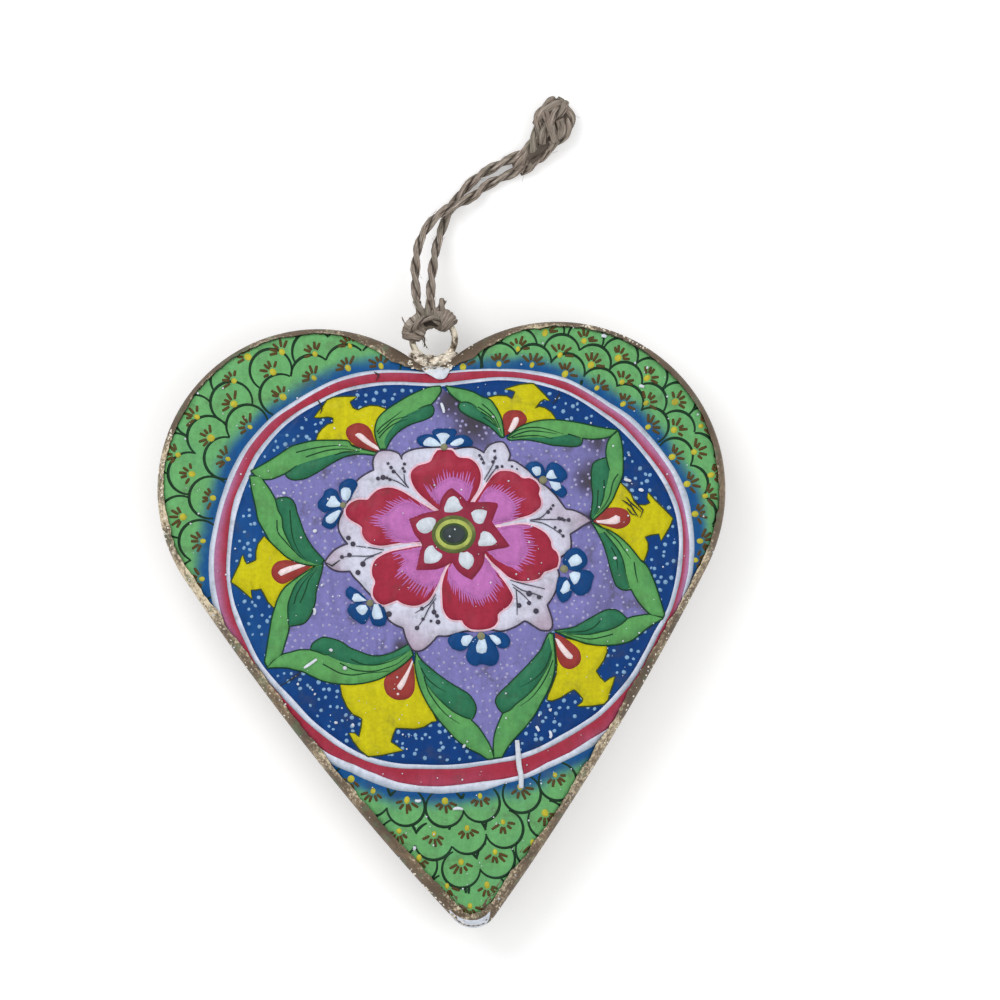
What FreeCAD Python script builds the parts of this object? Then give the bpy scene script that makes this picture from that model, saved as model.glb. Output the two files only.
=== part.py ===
import FreeCAD, Part
import math
import os
import Sketcher
from FreeCAD import Placement, Rotation, Vector

# A puffed tin heart with a painted front, a wire hanging ring and a loop of jute twine.
# Millimetres. The heart lies on its domed back with the front up (+Z) and its cleft and ring
# toward +Y. The origin is under the middle of the metal outline, on the surface it lies on.
# Each piece is drawn about the midpoint between the two lobe centres, in the plane of the seam,
# or about the ring's centre, and its Placement then carries it to the part's own frame.

SIZES = (
    # Outline of the heart, seen from the front: two round lobes, two long flanks and a round tip
    ("lobe_spacing", 54.9, "distance between the lobe centres"),
    ("left_lobe_radius", 36.8, "left lobe"),
    ("right_lobe_radius", 38.5, "right lobe, slightly the larger"),
    ("cleft_radius", 6.45, "hollow round between the lobes, where the ring sits"),
    ("left_flank_radius", 628, "long left side"),
    ("right_flank_radius", 652, "long right side"),
    ("tip_radius", 5.65, "rounded tip"),
    ("tip_lean", 8.15, "tip centre, to the right of the lobes' midpoint"),
    ("tip_drop", 94.8, "tip centre, below the lobe centres"),
    # Pressed shells
    ("sheet_thickness", 0.5, "tinplate"),
    ("puff_height", 11, "height of each half above the seam"),
    ("crown_radius", 700, "gentle crown of each half"),
    ("crown_lean", 2.8, "top of the crown, to the right of the lobes' midpoint"),
    ("crown_drop", 16, "top of the crown, below the lobe centres"),
    ("rim_radius", 4.5, "round between wall and crown"),
    ("seam_lap", 2.5, "how far the back shell slides up inside the front shell"),
    ("seam_bead", 0.5, "height of the solder bead under the front shell's edge"),
    ("seam_bead_round", 0.35, "rounding of the solder bead"),
    # Hanging ring and its solder
    ("ring_radius", 4.9, "centreline of the ring"),
    ("ring_wire", 1.5, "wire diameter"),
    ("ring_side_shift", 0.4, "ring centre, to the right of the cleft's centre"),
    ("ring_rise", 0.25, "ring centre, above the cleft's centre"),
    ("solder_inside", 0.85, "solder inside the ring's centreline"),
    ("solder_outside", 2.25, "solder outside the ring's centreline"),
    ("solder_span", 104, "degrees of the ring that the solder holds"),
    # Twine
    ("twine_diameter", 2.1, "two-ply jute"),
    ("hitch_wrap", 1.6, "pressed twine around the wire"),
    ("hitch_gap", 0.1, "running gap between the hitch and the wire"),
    ("hitch_start", 65, "degrees, first wrap from +X round the ring"),
    ("hitch_span", 105, "degrees from the first wrap to the last"),
    ("tail_angle", 74, "degrees, cut end of the twine from +X round the ring"),
    ("tail_width", 1.7, "diameter of the cut end"),
    ("tail_reach", 1.2, "how far its round end's centre stands out of the hitch"),
    ("knot_length", 12.2, "end knot along the twine"),
    ("knot_width", 8.9, "end knot across the twine"),
    ("knot_height", 7.2, "end knot above the surface"),
    ("knot_angle", 82, "degrees, direction of the end knot from +X"),
    ("knot_right", 27.8, "end knot, to the right of the ring's centre"),
    ("knot_up", 49.8, "end knot, above the ring's centre"),
)

# Routes of the two free strands, from the hitch to the end knot: millimetres right of the ring's
# centre, up from it toward +Y, and above the surface that the heart lies on.
LEFT_LEG_ROUTE = (
    (-3.82, 8.30, 11.0),
    (-4.37, 14.03, 9.6),
    (-3.98, 20.24, 7.0),
    (-2.09, 25.19, 5.4),
    (1.47, 29.10, 4.4),
    (5.84, 31.17, 3.7),
    (9.29, 32.78, 2.4),
    (12.05, 35.42, 1.3),
    (16.19, 37.26, 1.1),
    (20.10, 39.10, 1.2),
    (23.75, 41.90, 1.4),
    (26.40, 45.20, 2.0),
)
RIGHT_LEG_ROUTE = (
    (-0.76, 8.67, 11.0),
    (-0.53, 14.49, 8.4),
    (0.44, 20.70, 4.6),
    (2.51, 27.14, 2.0),
    (5.38, 32.66, 1.15),
    (10.33, 37.72, 1.1),
    (16.42, 40.83, 1.15),
    (21.90, 43.40, 2.5),
    (24.30, 47.30, 3.9),
)
# Share of the shorter run that each rounded corner of a route takes
CORNER_SHARE = 0.45

UP = Vector(0, 0, 1)

doc = FreeCAD.newDocument("TinHeart")
sheet = doc.addObject("Spreadsheet::Sheet", "Sizes")
for row, (alias, value, note) in enumerate(SIZES, start=1):
    sheet.set(f"A{row}", str(value))
    sheet.setAlias(f"A{row}", alias)
    sheet.set(f"B{row}", note)
doc.recompute()


def size(alias):
    """A driving dimension, as the sheet holds it."""
    return float(getattr(sheet, alias))


# Places worked out from the sizes, written as expressions
CLEFT_X = (
    "((Sizes.left_lobe_radius + Sizes.cleft_radius)^2"
    " - (Sizes.right_lobe_radius + Sizes.cleft_radius)^2) / (2 * Sizes.lobe_spacing)"
)
CLEFT_Y = (
    "sqrt((Sizes.left_lobe_radius + Sizes.cleft_radius)^2"
    f" - (Sizes.lobe_spacing / 2 + {CLEFT_X})^2)"
)
RING_X = f"{CLEFT_X} + Sizes.ring_side_shift"
RING_Y = f"{CLEFT_Y} + Sizes.ring_rise"
TOP_Y = (
    f"max({RING_Y} + Sizes.ring_radius + Sizes.ring_wire / 2;"
    " Sizes.left_lobe_radius; Sizes.right_lobe_radius)"
)
# From the midpoint between the lobe centres to the part's origin
HEART_X = "(Sizes.left_lobe_radius - Sizes.right_lobe_radius) / 2"
HEART_Y = f"(Sizes.tip_drop + Sizes.tip_radius - {TOP_Y}) / 2"
SEAM_Z = "Sizes.puff_height"
HITCH_TUBE = "Sizes.ring_wire / 2 + Sizes.hitch_gap + Sizes.hitch_wrap"


def bind(thing, **properties):
    """Ties each property of a thing to an expression of the sizes."""
    for name, expression in properties.items():
        thing.setExpression(name.replace("__", "."), expression)
    return thing


def primitive(kind, name, **properties):
    """A Part primitive whose sizes come from the sheet."""
    return bind(doc.addObject(kind, name), **properties)


def boolean(kind, name, base, tool):
    """A cut, fuse or common of two shapes."""
    result = doc.addObject(kind, name)
    result.Base = base
    result.Tool = tool
    return result


def place(thing, x, y, z, angle=None):
    """Puts a finished piece in the part's frame, turned about Z where it has an angle."""
    if angle:
        thing.Placement = Placement(Vector(), Rotation(UP, size(angle)))
        bind(thing, Placement__Rotation__Angle=f"Sizes.{angle}")
    bind(thing, Placement__Base__x=x, Placement__Base__y=y, Placement__Base__z=z)
    return thing


def place_at_seam(thing):
    """Puts a piece that is drawn about the lobes' midpoint."""
    return place(thing, HEART_X, HEART_Y, SEAM_Z)


def place_at_ring(thing, angle=None):
    """Puts a piece that is drawn about the ring's centre, at the seam's height."""
    return place(thing, f"{HEART_X} + {RING_X}", f"{HEART_Y} + {RING_Y}", SEAM_Z, angle)


def origin_plane(body, role):
    """One of a body's own origin planes."""
    return next(plane for plane in body.Origin.OriginFeatures if plane.Role == role)


def new_sketch(body, name, role):
    """A sketch on one of a body's own origin planes."""
    sketch = body.newObject("Sketcher::SketchObject", name)
    sketch.AttachmentSupport = (origin_plane(body, role), [""])
    sketch.MapMode = "FlatFace"
    return sketch


def constrain(sketch, kind, *where, expression=None):
    """Adds one constraint and ties its value to the sizes."""
    index = sketch.addConstraint(Sketcher.Constraint(kind, *where))
    if expression:
        sketch.setExpression(f"Constraints[{index}]", expression)


def circles_meet(first, first_radius, second, second_radius, side):
    """Where two circles cross, on the left (1) or right (-1) of the line from first to second."""
    apart = second - first
    along = (first_radius**2 - second_radius**2 + apart.Length**2) / (2 * apart.Length)
    across = math.sqrt(first_radius**2 - along**2)
    ahead = Vector(apart).normalize()
    return first + ahead * along + UP.cross(ahead) * (side * across)


def arc_between(centre, radius, start, end):
    """The arc that runs anticlockwise from the direction of one point to that of another."""
    start_angle = math.atan2(start.y - centre.y, start.x - centre.x)
    end_angle = math.atan2(end.y - centre.y, end.x - centre.x)
    if end_angle < start_angle:
        end_angle += math.tau
    return Part.ArcOfCircle(Part.Circle(centre, UP, radius), start_angle, end_angle)


def draw_heart(sketch, layers):
    """Draws the heart's outline in a sketch, drawn in by a number of sheet thicknesses."""
    drawn_in = layers * size("sheet_thickness")
    radius = {
        name: size(f"{name}_radius") - drawn_in
        for name in ("left_lobe", "right_lobe", "tip", "left_flank", "right_flank")
    }
    radius["cleft"] = size("cleft_radius") + drawn_in
    half = size("lobe_spacing") / 2
    centre = {
        "left_lobe": Vector(-half, 0, 0),
        "right_lobe": Vector(half, 0, 0),
        "tip": Vector(size("tip_lean"), -size("tip_drop"), 0),
    }
    centre["cleft"] = circles_meet(
        centre["left_lobe"], radius["left_lobe"] + radius["cleft"],
        centre["right_lobe"], radius["right_lobe"] + radius["cleft"], 1)
    for side, turn in (("left", 1), ("right", -1)):
        lobe = f"{side}_lobe"
        flank = f"{side}_flank"
        centre[flank] = circles_meet(
            centre[lobe], radius[flank] - radius[lobe],
            centre["tip"], radius[flank] - radius["tip"], turn)

    def touch(name, other):
        """Where a small arc touches its neighbour: toward the cleft, away from a flank's centre."""
        ahead = (centre[other] - centre[name]).normalize()
        if other != "cleft":
            ahead = -ahead
        return centre[name] + ahead * radius[name]

    ends = {
        "right_flank": (touch("tip", "right_flank"), touch("right_lobe", "right_flank")),
        "right_lobe": (touch("right_lobe", "right_flank"), touch("right_lobe", "cleft")),
        "cleft": (touch("left_lobe", "cleft"), touch("right_lobe", "cleft")),
        "left_lobe": (touch("left_lobe", "cleft"), touch("left_lobe", "left_flank")),
        "left_flank": (touch("left_lobe", "left_flank"), touch("tip", "left_flank")),
        "tip": (touch("tip", "left_flank"), touch("tip", "right_flank")),
    }
    arc = {
        name: sketch.addGeometry(arc_between(centre[name], radius[name], *ends[name]), False)
        for name in ends
    }
    start, end, middle = 1, 2, 3
    for name, at, other, other_at in (
        ("right_flank", end, "right_lobe", start),
        ("right_lobe", end, "cleft", end),
        ("cleft", start, "left_lobe", start),
        ("left_lobe", end, "left_flank", start),
        ("left_flank", end, "tip", start),
        ("tip", end, "right_flank", start),
    ):
        constrain(sketch, "Tangent", arc[name], at, arc[other], other_at)
    for name in ends:
        sign = "+" if name == "cleft" else "-"
        constrain(sketch, "Radius", arc[name], radius[name],
                  expression=f"Sizes.{name}_radius {sign} {layers} * Sizes.sheet_thickness")
    origin = (-1, 1)
    x_axis = -1
    for name in ("left_lobe", "right_lobe"):
        constrain(sketch, "PointOnObject", arc[name], middle, x_axis)
    constrain(sketch, "DistanceX", arc["left_lobe"], middle, *origin, half,
              expression="Sizes.lobe_spacing / 2")
    constrain(sketch, "DistanceX", *origin, arc["right_lobe"], middle, half,
              expression="Sizes.lobe_spacing / 2")
    constrain(sketch, "DistanceX", *origin, arc["tip"], middle, size("tip_lean"),
              expression="Sizes.tip_lean")
    constrain(sketch, "DistanceY", arc["tip"], middle, *origin, size("tip_drop"),
              expression="Sizes.tip_drop")


def draw_above_crown(sketch, layers):
    """Draws half the section of what lies above the crown, beside the sketch's upright axis."""
    drawn_in = layers * size("sheet_thickness")
    radius = size("crown_radius") - drawn_in
    top = size("puff_height") - drawn_in
    reach = size("tip_drop") + size("lobe_spacing")
    clear = top + size("rim_radius")
    centre = Vector(0, top - radius, 0)
    low = Vector(reach, centre.y + math.sqrt(radius**2 - reach**2), 0)
    crest = Vector(0, top, 0)
    corners = (low, Vector(reach, clear, 0), Vector(0, clear, 0), crest)
    crown = sketch.addGeometry(arc_between(centre, radius, low, crest), False)
    lines = [
        sketch.addGeometry(Part.LineSegment(first, second), False)
        for first, second in zip(corners, corners[1:])
    ]
    outer, lid, axis = lines
    start, end, middle = 1, 2, 3
    for name, at, other, other_at in (
        (crown, start, outer, start),
        (outer, end, lid, start),
        (lid, end, axis, start),
        (axis, end, crown, end),
    ):
        constrain(sketch, "Coincident", name, at, other, other_at)
    constrain(sketch, "Vertical", outer)
    constrain(sketch, "Horizontal", lid)
    origin = (-1, 1)
    y_axis = -2
    for at in (start, end):
        constrain(sketch, "PointOnObject", axis, at, y_axis)
    constrain(sketch, "PointOnObject", crown, middle, y_axis)
    constrain(sketch, "Radius", crown, radius,
              expression=f"Sizes.crown_radius - {layers} * Sizes.sheet_thickness")
    constrain(sketch, "DistanceY", *origin, crown, end, top,
              expression=f"Sizes.puff_height - {layers} * Sizes.sheet_thickness")
    constrain(sketch, "DistanceX", *origin, lid, start, reach,
              expression="Sizes.tip_drop + Sizes.lobe_spacing")
    constrain(sketch, "DistanceY", *origin, lid, start, clear,
              expression=f"Sizes.puff_height - {layers} * Sizes.sheet_thickness + Sizes.rim_radius")


def puffed_form(name, outline_layers, crown_layers, lap="0"):
    """A solid half heart: flat below, crowned above, rounded between, with a skirt below the seam.

    outline_layers and crown_layers say how many sheets it lies inside the heart's outer skin.
    """
    body = doc.addObject("PartDesign::Body", name)
    outline = new_sketch(body, f"{name}_outline", "XY_Plane")
    draw_heart(outline, outline_layers)
    bind(outline, AttachmentOffset__Base__z=f"-({lap})")
    block = body.newObject("PartDesign::Pad", f"{name}_block")
    block.Profile = outline
    bind(block, Length=f"Sizes.puff_height - {crown_layers} * Sizes.sheet_thickness + {lap}")
    doc.recompute()
    section = new_sketch(body, f"{name}_crown_section", "XZ_Plane")
    draw_above_crown(section, crown_layers)
    bind(section, AttachmentOffset__Base__x="Sizes.crown_lean",
         AttachmentOffset__Base__z="Sizes.crown_drop")
    crown = body.newObject("PartDesign::Groove", f"{name}_crown")
    crown.Profile = section
    crown.ReferenceAxis = (section, ["V_Axis"])
    crown.Angle = 360
    doc.recompute()
    if not 0 < crown.Shape.Volume < block.Shape.Volume:
        raise RuntimeError(f"{name}: the crown is not cut")
    dome = next(
        number for number, face in enumerate(crown.Shape.Faces, start=1)
        if isinstance(face.Surface, Part.Sphere)
    )
    rim = body.newObject("PartDesign::Fillet", f"{name}_rim")
    rim.Base = (crown, [f"Face{dome}"])
    bind(rim, Radius=f"Sizes.rim_radius - {outline_layers} * Sizes.sheet_thickness")
    body.Tip = rim
    doc.recompute()
    return body


def front_shell():
    """The front half: a pressed tray, open at the seam."""
    skin = puffed_form("front_skin", 0, 0)
    hollow = puffed_form("front_hollow", 1, 1)
    return place_at_seam(boolean("Part::Cut", "front_shell", skin, hollow))


def back_shell():
    """The back half: the same tray, one sheet smaller, with its edge inside the front shell."""
    skin = puffed_form("back_skin", 1, 0, lap="Sizes.seam_lap")
    hollow = puffed_form("back_hollow", 2, 1, lap="Sizes.seam_lap")
    tray = boolean("Part::Cut", "back_tray", skin, hollow)
    shell = doc.addObject("Part::Mirroring", "back_shell")
    shell.Source = tray
    shell.Normal = UP
    return place_at_seam(shell)


def seam_solder():
    """The solder that fills the step under the front shell's edge, all the way round."""
    body = doc.addObject("PartDesign::Body", "seam_solder")
    outside = new_sketch(body, "bead_outside", "XY_Plane")
    draw_heart(outside, 0)
    bead = body.newObject("PartDesign::Pad", "bead")
    bead.Profile = outside
    bead.Reversed = True
    bind(bead, Length="Sizes.seam_bead")
    doc.recompute()
    under = next(
        number for number, face in enumerate(bead.Shape.Faces, start=1)
        if isinstance(face.Surface, Part.Plane) and face.CenterOfMass.z < 0
        and abs(face.normalAt(0, 0).z) > math.cos(math.radians(1))
    )
    rounding = body.newObject("PartDesign::Fillet", "bead_rounding")
    rounding.Base = (bead, [f"Face{under}"])
    bind(rounding, Radius="Sizes.seam_bead_round")
    doc.recompute()
    inside = new_sketch(body, "bead_inside", "XY_Plane")
    draw_heart(inside, 1)
    opening = body.newObject("PartDesign::Pocket", "bead_opening")
    opening.Profile = inside
    opening.Type = "ThroughAll"
    doc.recompute()
    if not 0 < opening.Shape.Volume < rounding.Shape.Volume / 2:
        raise RuntimeError("seam_solder: the middle is not cut out")
    body.Tip = opening
    return place_at_seam(body)


def hanger_ring():
    """The wire ring, closed."""
    return place_at_ring(primitive(
        "Part::Torus", "hanger_ring", Radius1="Sizes.ring_radius", Radius2="Sizes.ring_wire / 2"))


def ring_solder():
    """The lump of solder that holds the ring in the cleft."""
    lump = primitive(
        "Part::Torus", "solder_lump",
        Radius1="Sizes.ring_radius + (Sizes.solder_outside - Sizes.solder_inside) / 2",
        Radius2="(Sizes.solder_outside + Sizes.solder_inside) / 2",
        Angle3="Sizes.solder_span")
    straight_down = 270
    lump.Placement = Placement(Vector(), Rotation(UP, straight_down - size("solder_span") / 2))
    bind(lump, Placement__Rotation__Angle=f"{straight_down} - Sizes.solder_span / 2")
    cleft = primitive(
        "Part::Cylinder", "cleft_wall", Radius="Sizes.cleft_radius",
        Height="2 * Sizes.solder_outside",
        Placement__Base__x="-Sizes.ring_side_shift", Placement__Base__y="-Sizes.ring_rise",
        Placement__Base__z="-Sizes.solder_outside")
    wire = primitive(
        "Part::Torus", "soldered_wire", Radius1="Sizes.ring_radius", Radius2="Sizes.ring_wire / 2")
    filling = boolean("Part::Common", "solder_in_cleft", lump, cleft)
    return place_at_ring(boolean("Part::Cut", "ring_solder", filling, wire))


def twine_hitch():
    """The twine's wraps on the ring, as one bent sleeve with a running gap to the wire."""
    sleeve = primitive(
        "Part::Torus", "hitch_sleeve", Radius1="Sizes.ring_radius", Radius2=HITCH_TUBE,
        Angle3="Sizes.hitch_span")
    first_end = primitive(
        "Part::Sphere", "hitch_first_end", Radius=HITCH_TUBE,
        Placement__Base__x="Sizes.ring_radius")
    last_end = primitive(
        "Part::Sphere", "hitch_last_end", Radius=HITCH_TUBE,
        Placement__Base__x="Sizes.ring_radius * cos(Sizes.hitch_span)",
        Placement__Base__y="Sizes.ring_radius * sin(Sizes.hitch_span)")
    with_first_end = boolean("Part::Fuse", "hitch_with_first_end", sleeve, first_end)
    with_both_ends = boolean("Part::Fuse", "hitch_with_both_ends", with_first_end, last_end)
    tunnel = primitive(
        "Part::Torus", "hitch_tunnel", Radius1="Sizes.ring_radius",
        Radius2="Sizes.ring_wire / 2 + Sizes.hitch_gap")
    return place_at_ring(
        boolean("Part::Cut", "twine_hitch", with_both_ends, tunnel), "hitch_start")


def twine_tail():
    """The short cut end of the twine, standing out of the hitch."""
    reach = f"Sizes.ring_radius + {HITCH_TUBE} + Sizes.tail_reach"
    stem = primitive("Part::Cylinder", "tail_stem", Radius="Sizes.tail_width / 2",
                     Height=f"{reach} - Sizes.ring_radius", Placement__Base__x="Sizes.ring_radius")
    stem.Placement = Placement(Vector(size("ring_radius"), 0, 0), Rotation(UP, Vector(1, 0, 0)))
    end = primitive("Part::Sphere", "tail_end", Radius="Sizes.tail_width / 2",
                    Placement__Base__x=reach)
    whole = boolean("Part::Fuse", "tail_whole", stem, end)
    hitch = primitive(
        "Part::Torus", "hitch_around_tail", Radius1="Sizes.ring_radius", Radius2=HITCH_TUBE)
    return place_at_ring(boolean("Part::Cut", "twine_tail", whole, hitch), "tail_angle")


def rounded_path(name, route):
    """Straight runs joined by tangent arcs, each as large as its two runs allow."""
    corners = [Vector(*point) for point in route]
    edges = []
    radii = []
    reached = corners[0]
    for before, corner, after in zip(corners, corners[1:], corners[2:]):
        back = before - corner
        ahead = after - corner
        half_turn = (math.pi - back.getAngle(ahead)) / 2
        cut_off = CORNER_SHARE * min(back.Length, ahead.Length)
        radius = cut_off / math.tan(half_turn)
        start = corner + back.normalize() * cut_off
        end = corner + ahead.normalize() * cut_off
        to_centre = (start + end - corner * 2).normalize()
        middle = corner + to_centre * (math.hypot(radius, cut_off) - radius)
        edges.append(Part.LineSegment(reached, start).toShape())
        edges.append(Part.Arc(start, middle, end).toShape())
        radii.append(radius)
        reached = end
    edges.append(Part.LineSegment(reached, corners[-1]).toShape())
    print(name, "bend radii in twine diameters:",
          ", ".join(f"{radius / size('twine_diameter'):.1f}" for radius in radii))
    return Part.Wire(edges)


def twine_leg(name, route):
    """One free strand of the loop, from a round end that turns at the hitch to the end knot."""
    path = rounded_path(name, route)
    first = path.Edges[0]
    radius = size("twine_diameter") / 2
    start = first.Vertexes[0].Point
    section = Part.Circle(start, first.tangentAt(first.FirstParameter), radius)
    tube = path.makePipeShell([Part.Wire(section.toShape())], True, False)
    swept = math.pi * radius**2 * path.Length
    print(f"{name}: length {path.Length:.2f}, volume over swept volume {tube.Volume / swept:.4f}")
    leg = doc.addObject("Part::Feature", name)
    leg.Shape = tube.fuse(Part.makeSphere(radius, start))
    return place(leg, f"{HEART_X} + {RING_X}", f"{HEART_Y} + {RING_Y}", "0")


def twine_end_knot():
    """The bulky knot that joins the two strands."""
    knot = primitive("Part::Ellipsoid", "twine_end_knot", Radius1="Sizes.knot_height / 2",
                     Radius2="Sizes.knot_length / 2", Radius3="Sizes.knot_width / 2")
    return place(knot, f"{HEART_X} + {RING_X} + Sizes.knot_right",
                 f"{HEART_Y} + {RING_Y} + Sizes.knot_up", "Sizes.knot_height / 2", "knot_angle")


pieces = [
    front_shell(),
    back_shell(),
    seam_solder(),
    hanger_ring(),
    ring_solder(),
    twine_hitch(),
    twine_tail(),
    twine_leg("twine_left_leg", LEFT_LEG_ROUTE),
    twine_leg("twine_right_leg", RIGHT_LEG_ROUTE),
    twine_end_knot(),
]
doc.recompute()

for thing in doc.Objects:
    if "Invalid" in thing.State or "Error" in thing.State:
        raise RuntimeError(f"{thing.Label} did not build")
for piece in pieces:
    if piece.Shape.isNull() or not piece.Shape.isValid() or len(piece.Shape.Solids) != 1:
        raise RuntimeError(f"{piece.Label} is not one valid solid")

os.makedirs("parts", exist_ok=True)
for piece in pieces:
    piece.Shape.exportStep(f"parts/{piece.Label}.step")
    box = piece.Shape.BoundBox
    print(f"{piece.Label}: {piece.Shape.Volume:.1f} mm3, x {box.XMin:.2f} to {box.XMax:.2f}, "
          f"y {box.YMin:.2f} to {box.YMax:.2f}, z {box.ZMin:.2f} to {box.ZMax:.2f}")
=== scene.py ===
"""Looks of a puffed tin heart with a painted flower medallion, a gilt ring and a jute loop.

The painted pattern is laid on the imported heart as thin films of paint, one over the other, as the
painter laid them. Points named "pixels" are places in the photograph, which looks straight down.
"""

import math
import random

import bpy
import numpy as np
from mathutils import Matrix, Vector, geometry, noise


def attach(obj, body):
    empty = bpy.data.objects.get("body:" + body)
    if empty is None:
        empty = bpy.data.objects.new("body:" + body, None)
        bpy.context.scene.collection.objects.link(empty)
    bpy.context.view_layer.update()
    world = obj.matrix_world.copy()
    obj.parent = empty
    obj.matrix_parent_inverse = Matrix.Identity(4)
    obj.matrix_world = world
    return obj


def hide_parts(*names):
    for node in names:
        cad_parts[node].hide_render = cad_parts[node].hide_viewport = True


bl_info = {
    "name": "Painted tin heart",
    "version": (1, 0, 0),
    "blender": (4, 5, 0),
    "location": "3D View > Sidebar > Tin heart",
    "description": "Dresses the packed tin heart with its paint, metal and twine",
    "category": "Object",
}

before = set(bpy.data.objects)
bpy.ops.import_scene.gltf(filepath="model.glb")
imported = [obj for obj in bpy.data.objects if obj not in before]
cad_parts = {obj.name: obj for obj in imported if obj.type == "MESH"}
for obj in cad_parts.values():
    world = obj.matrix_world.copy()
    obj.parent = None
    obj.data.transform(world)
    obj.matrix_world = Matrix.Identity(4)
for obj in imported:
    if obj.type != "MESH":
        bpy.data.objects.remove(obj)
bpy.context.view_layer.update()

MM = 0.001
# The photograph: its side in pixels, the length of one, and the pixel over the plan's origin.
PHOTO_SIDE = 1000
PIXEL = 0.23 * MM
PIXEL_ORIGIN = (441.45, 620.6)
MEDALLION_CENTRE = (453.8, 534.3)
HEART_CENTRE = (450, 560)

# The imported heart, in millimetres: the circles of its outline, its crown and its rounded rim.
LOBE_MIDPOINT = Vector((-0.85, 30.03))
LOBE_SPACING = 54.9
RADII = {"left_lobe": 36.8, "right_lobe": 38.5, "cleft": 6.45, "left_flank": 628,
         "right_flank": 652, "tip": 5.65}
TIP_CENTRE = Vector((8.15, -94.8))
CROWN_TOP = Vector((1.95, 14.03, 22))
CROWN_RADIUS = 700
RIM_RADIUS = 4.5
RIM_ROWS = (0.9, 1.3, 1.7, 2.1, 2.6, 3.1, 3.6, 4.1, 4.7)
DOME_EDGE = RIM_ROWS[-1] + 0.8
ROW_SPACING = 0.866
OUTER_EDGE = 0.3
RING_CENTRE = Vector((-1.816, 64.775, 11))
RING_RADIUS = 4.9

# Films of paint from the lowest to the highest: first and second colour, drift from one to the
# other, and grime. The rim's film is bronze. Shapes of one film that cross differ in height by
# a share of a film's step, so that none lies in another.
FILMS = {
    "scale_ground": ("scale_green", "scale_haze", 0.25, 0.35),
    "scale_lines": ("scale_line", "24503A", 0.5, 0.1),
    "scale_strokes": ("stroke_brown", "4A5A34", 0.6, 0.2),
    "scale_dots": ("dot_yellow", "A8A038", 0.7, 0.3),
    "ring_outer_white": ("ring_white", "A8B4C4", 0.5, 0.3),
    "ring_red": ("ring_red", "ring_mauve", 0.2, 0.25),
    "ring_inner_white": ("ring_white", "A8B4C4", 0.5, 0.3),
    "blue_ground": ("blue", "1C5C9A", 0.25, 0.3),
    "blue_specks": ("pale_blue", "blue", 0.5, 0.2),
    "lilac_star": ("lilac", "443F4C", 0.35, 0.6),
    "lilac_specks": ("pale_lilac", "lilac", 0.9, 0.2),
    "blossom_edges": ("3C4A20", "3C4A20", 0, 0.2),
    "blossoms": ("yellow", "B4AE20", 0.5, 0.3),
    "drops": ("drop_red", "8A4A34", 0.6, 0.3),
    "drop_lights": ("drop_light", "D8A8B0", 0.5, 0.1),
    "leaf_edges": ("leaf_line", "leaf_line", 0, 0.1),
    "leaves": ("leaf_green", "leaf_shade", 0.6, 0.25),
    "leaf_shades": ("leaf_shade", "4E9A74", 0.6, 0.2),
    "leaf_veins": ("leaf_line", "leaf_line", 0, 0.1),
    "field_edge": ("field_line", "field_line", 0, 0.2),
    "white_field": ("field", "B4A4B8", 0.5, 0.35),
    "petal_edges": ("petal_edge", "D890A8", 0.7, 0.15),
    "petals": ("petal", "B85468", 0.7, 0.25),
    "petal_hearts": ("petal_pink", "B0568C", 0.6, 0.1),
    "petal_ticks": ("petal_pink", "B0568C", 0.6, 0.1),
    "crimson_star": ("crimson", "A84C60", 0.5, 0.2),
    "lozenges": ("lozenge", "B8B4C8", 0.6, 0.2),
    "eye_rim": ("eye_olive", "A8B070", 1, 0.3),
    "eye_ring": ("eye_green", "8E9A4A", 0.6, 0.2),
    "eye_dark": ("3E5430", "6E8850", 0.7, 0.1),
    "pupil": ("pupil", "565C5C", 0.6, 0.1),
    "small_blue_petals": ("small_blue", "2C6AA4", 0.6, 0.2),
    "small_white_petals": ("small_white", "9CC0E0", 0.5, 0.1),
    "small_hearts": ("8A8A6C", "5C6450", 0.8, 0.3),
    "stamens": ("field_line", "field_line", 0, 0.1),
    "grime_marks": ("2A2C26", "4A4A38", 0.5, 0.1),
    "rim_paint": None,
    # Rim flecks: scrape marks on the bronze, and painted glints.
    "rim_flecks_and_glints": ("F4ECDC", "C0AE8C", 0.6, 0.15),
    "chips": ("primer", "B8C0CC", 0.5, 0.2),
}
CROSSING_LEVELS = 9
CROSSING_STEP = 0.09
MERGED_WITHIN = 1e-8
CLEAR_OF_EDGE = 0.7

# Bronze paint: how far the left flank is lightened, by scraping and by a painted highlight, how
# hard it is to wear, and wear at its edge.
BRONZES = {
    "rim_bronze": (0.12, 0.5, 0),
    "back_bronze": (0, 0.56, 0),
    "seam_bronze": (0.05, 0.46, 0),
    "rim_paint": (0.12, 0.46, 0.05),
}
# Gilt: its colour, where tarnish ends, and how metallic it is.
GILTS = {
    "gilt_wire": ("gilt", 0.39, 0.55),
    "gilt_solder": ("FFF4E2", 0.375, 0.2),
}
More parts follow.
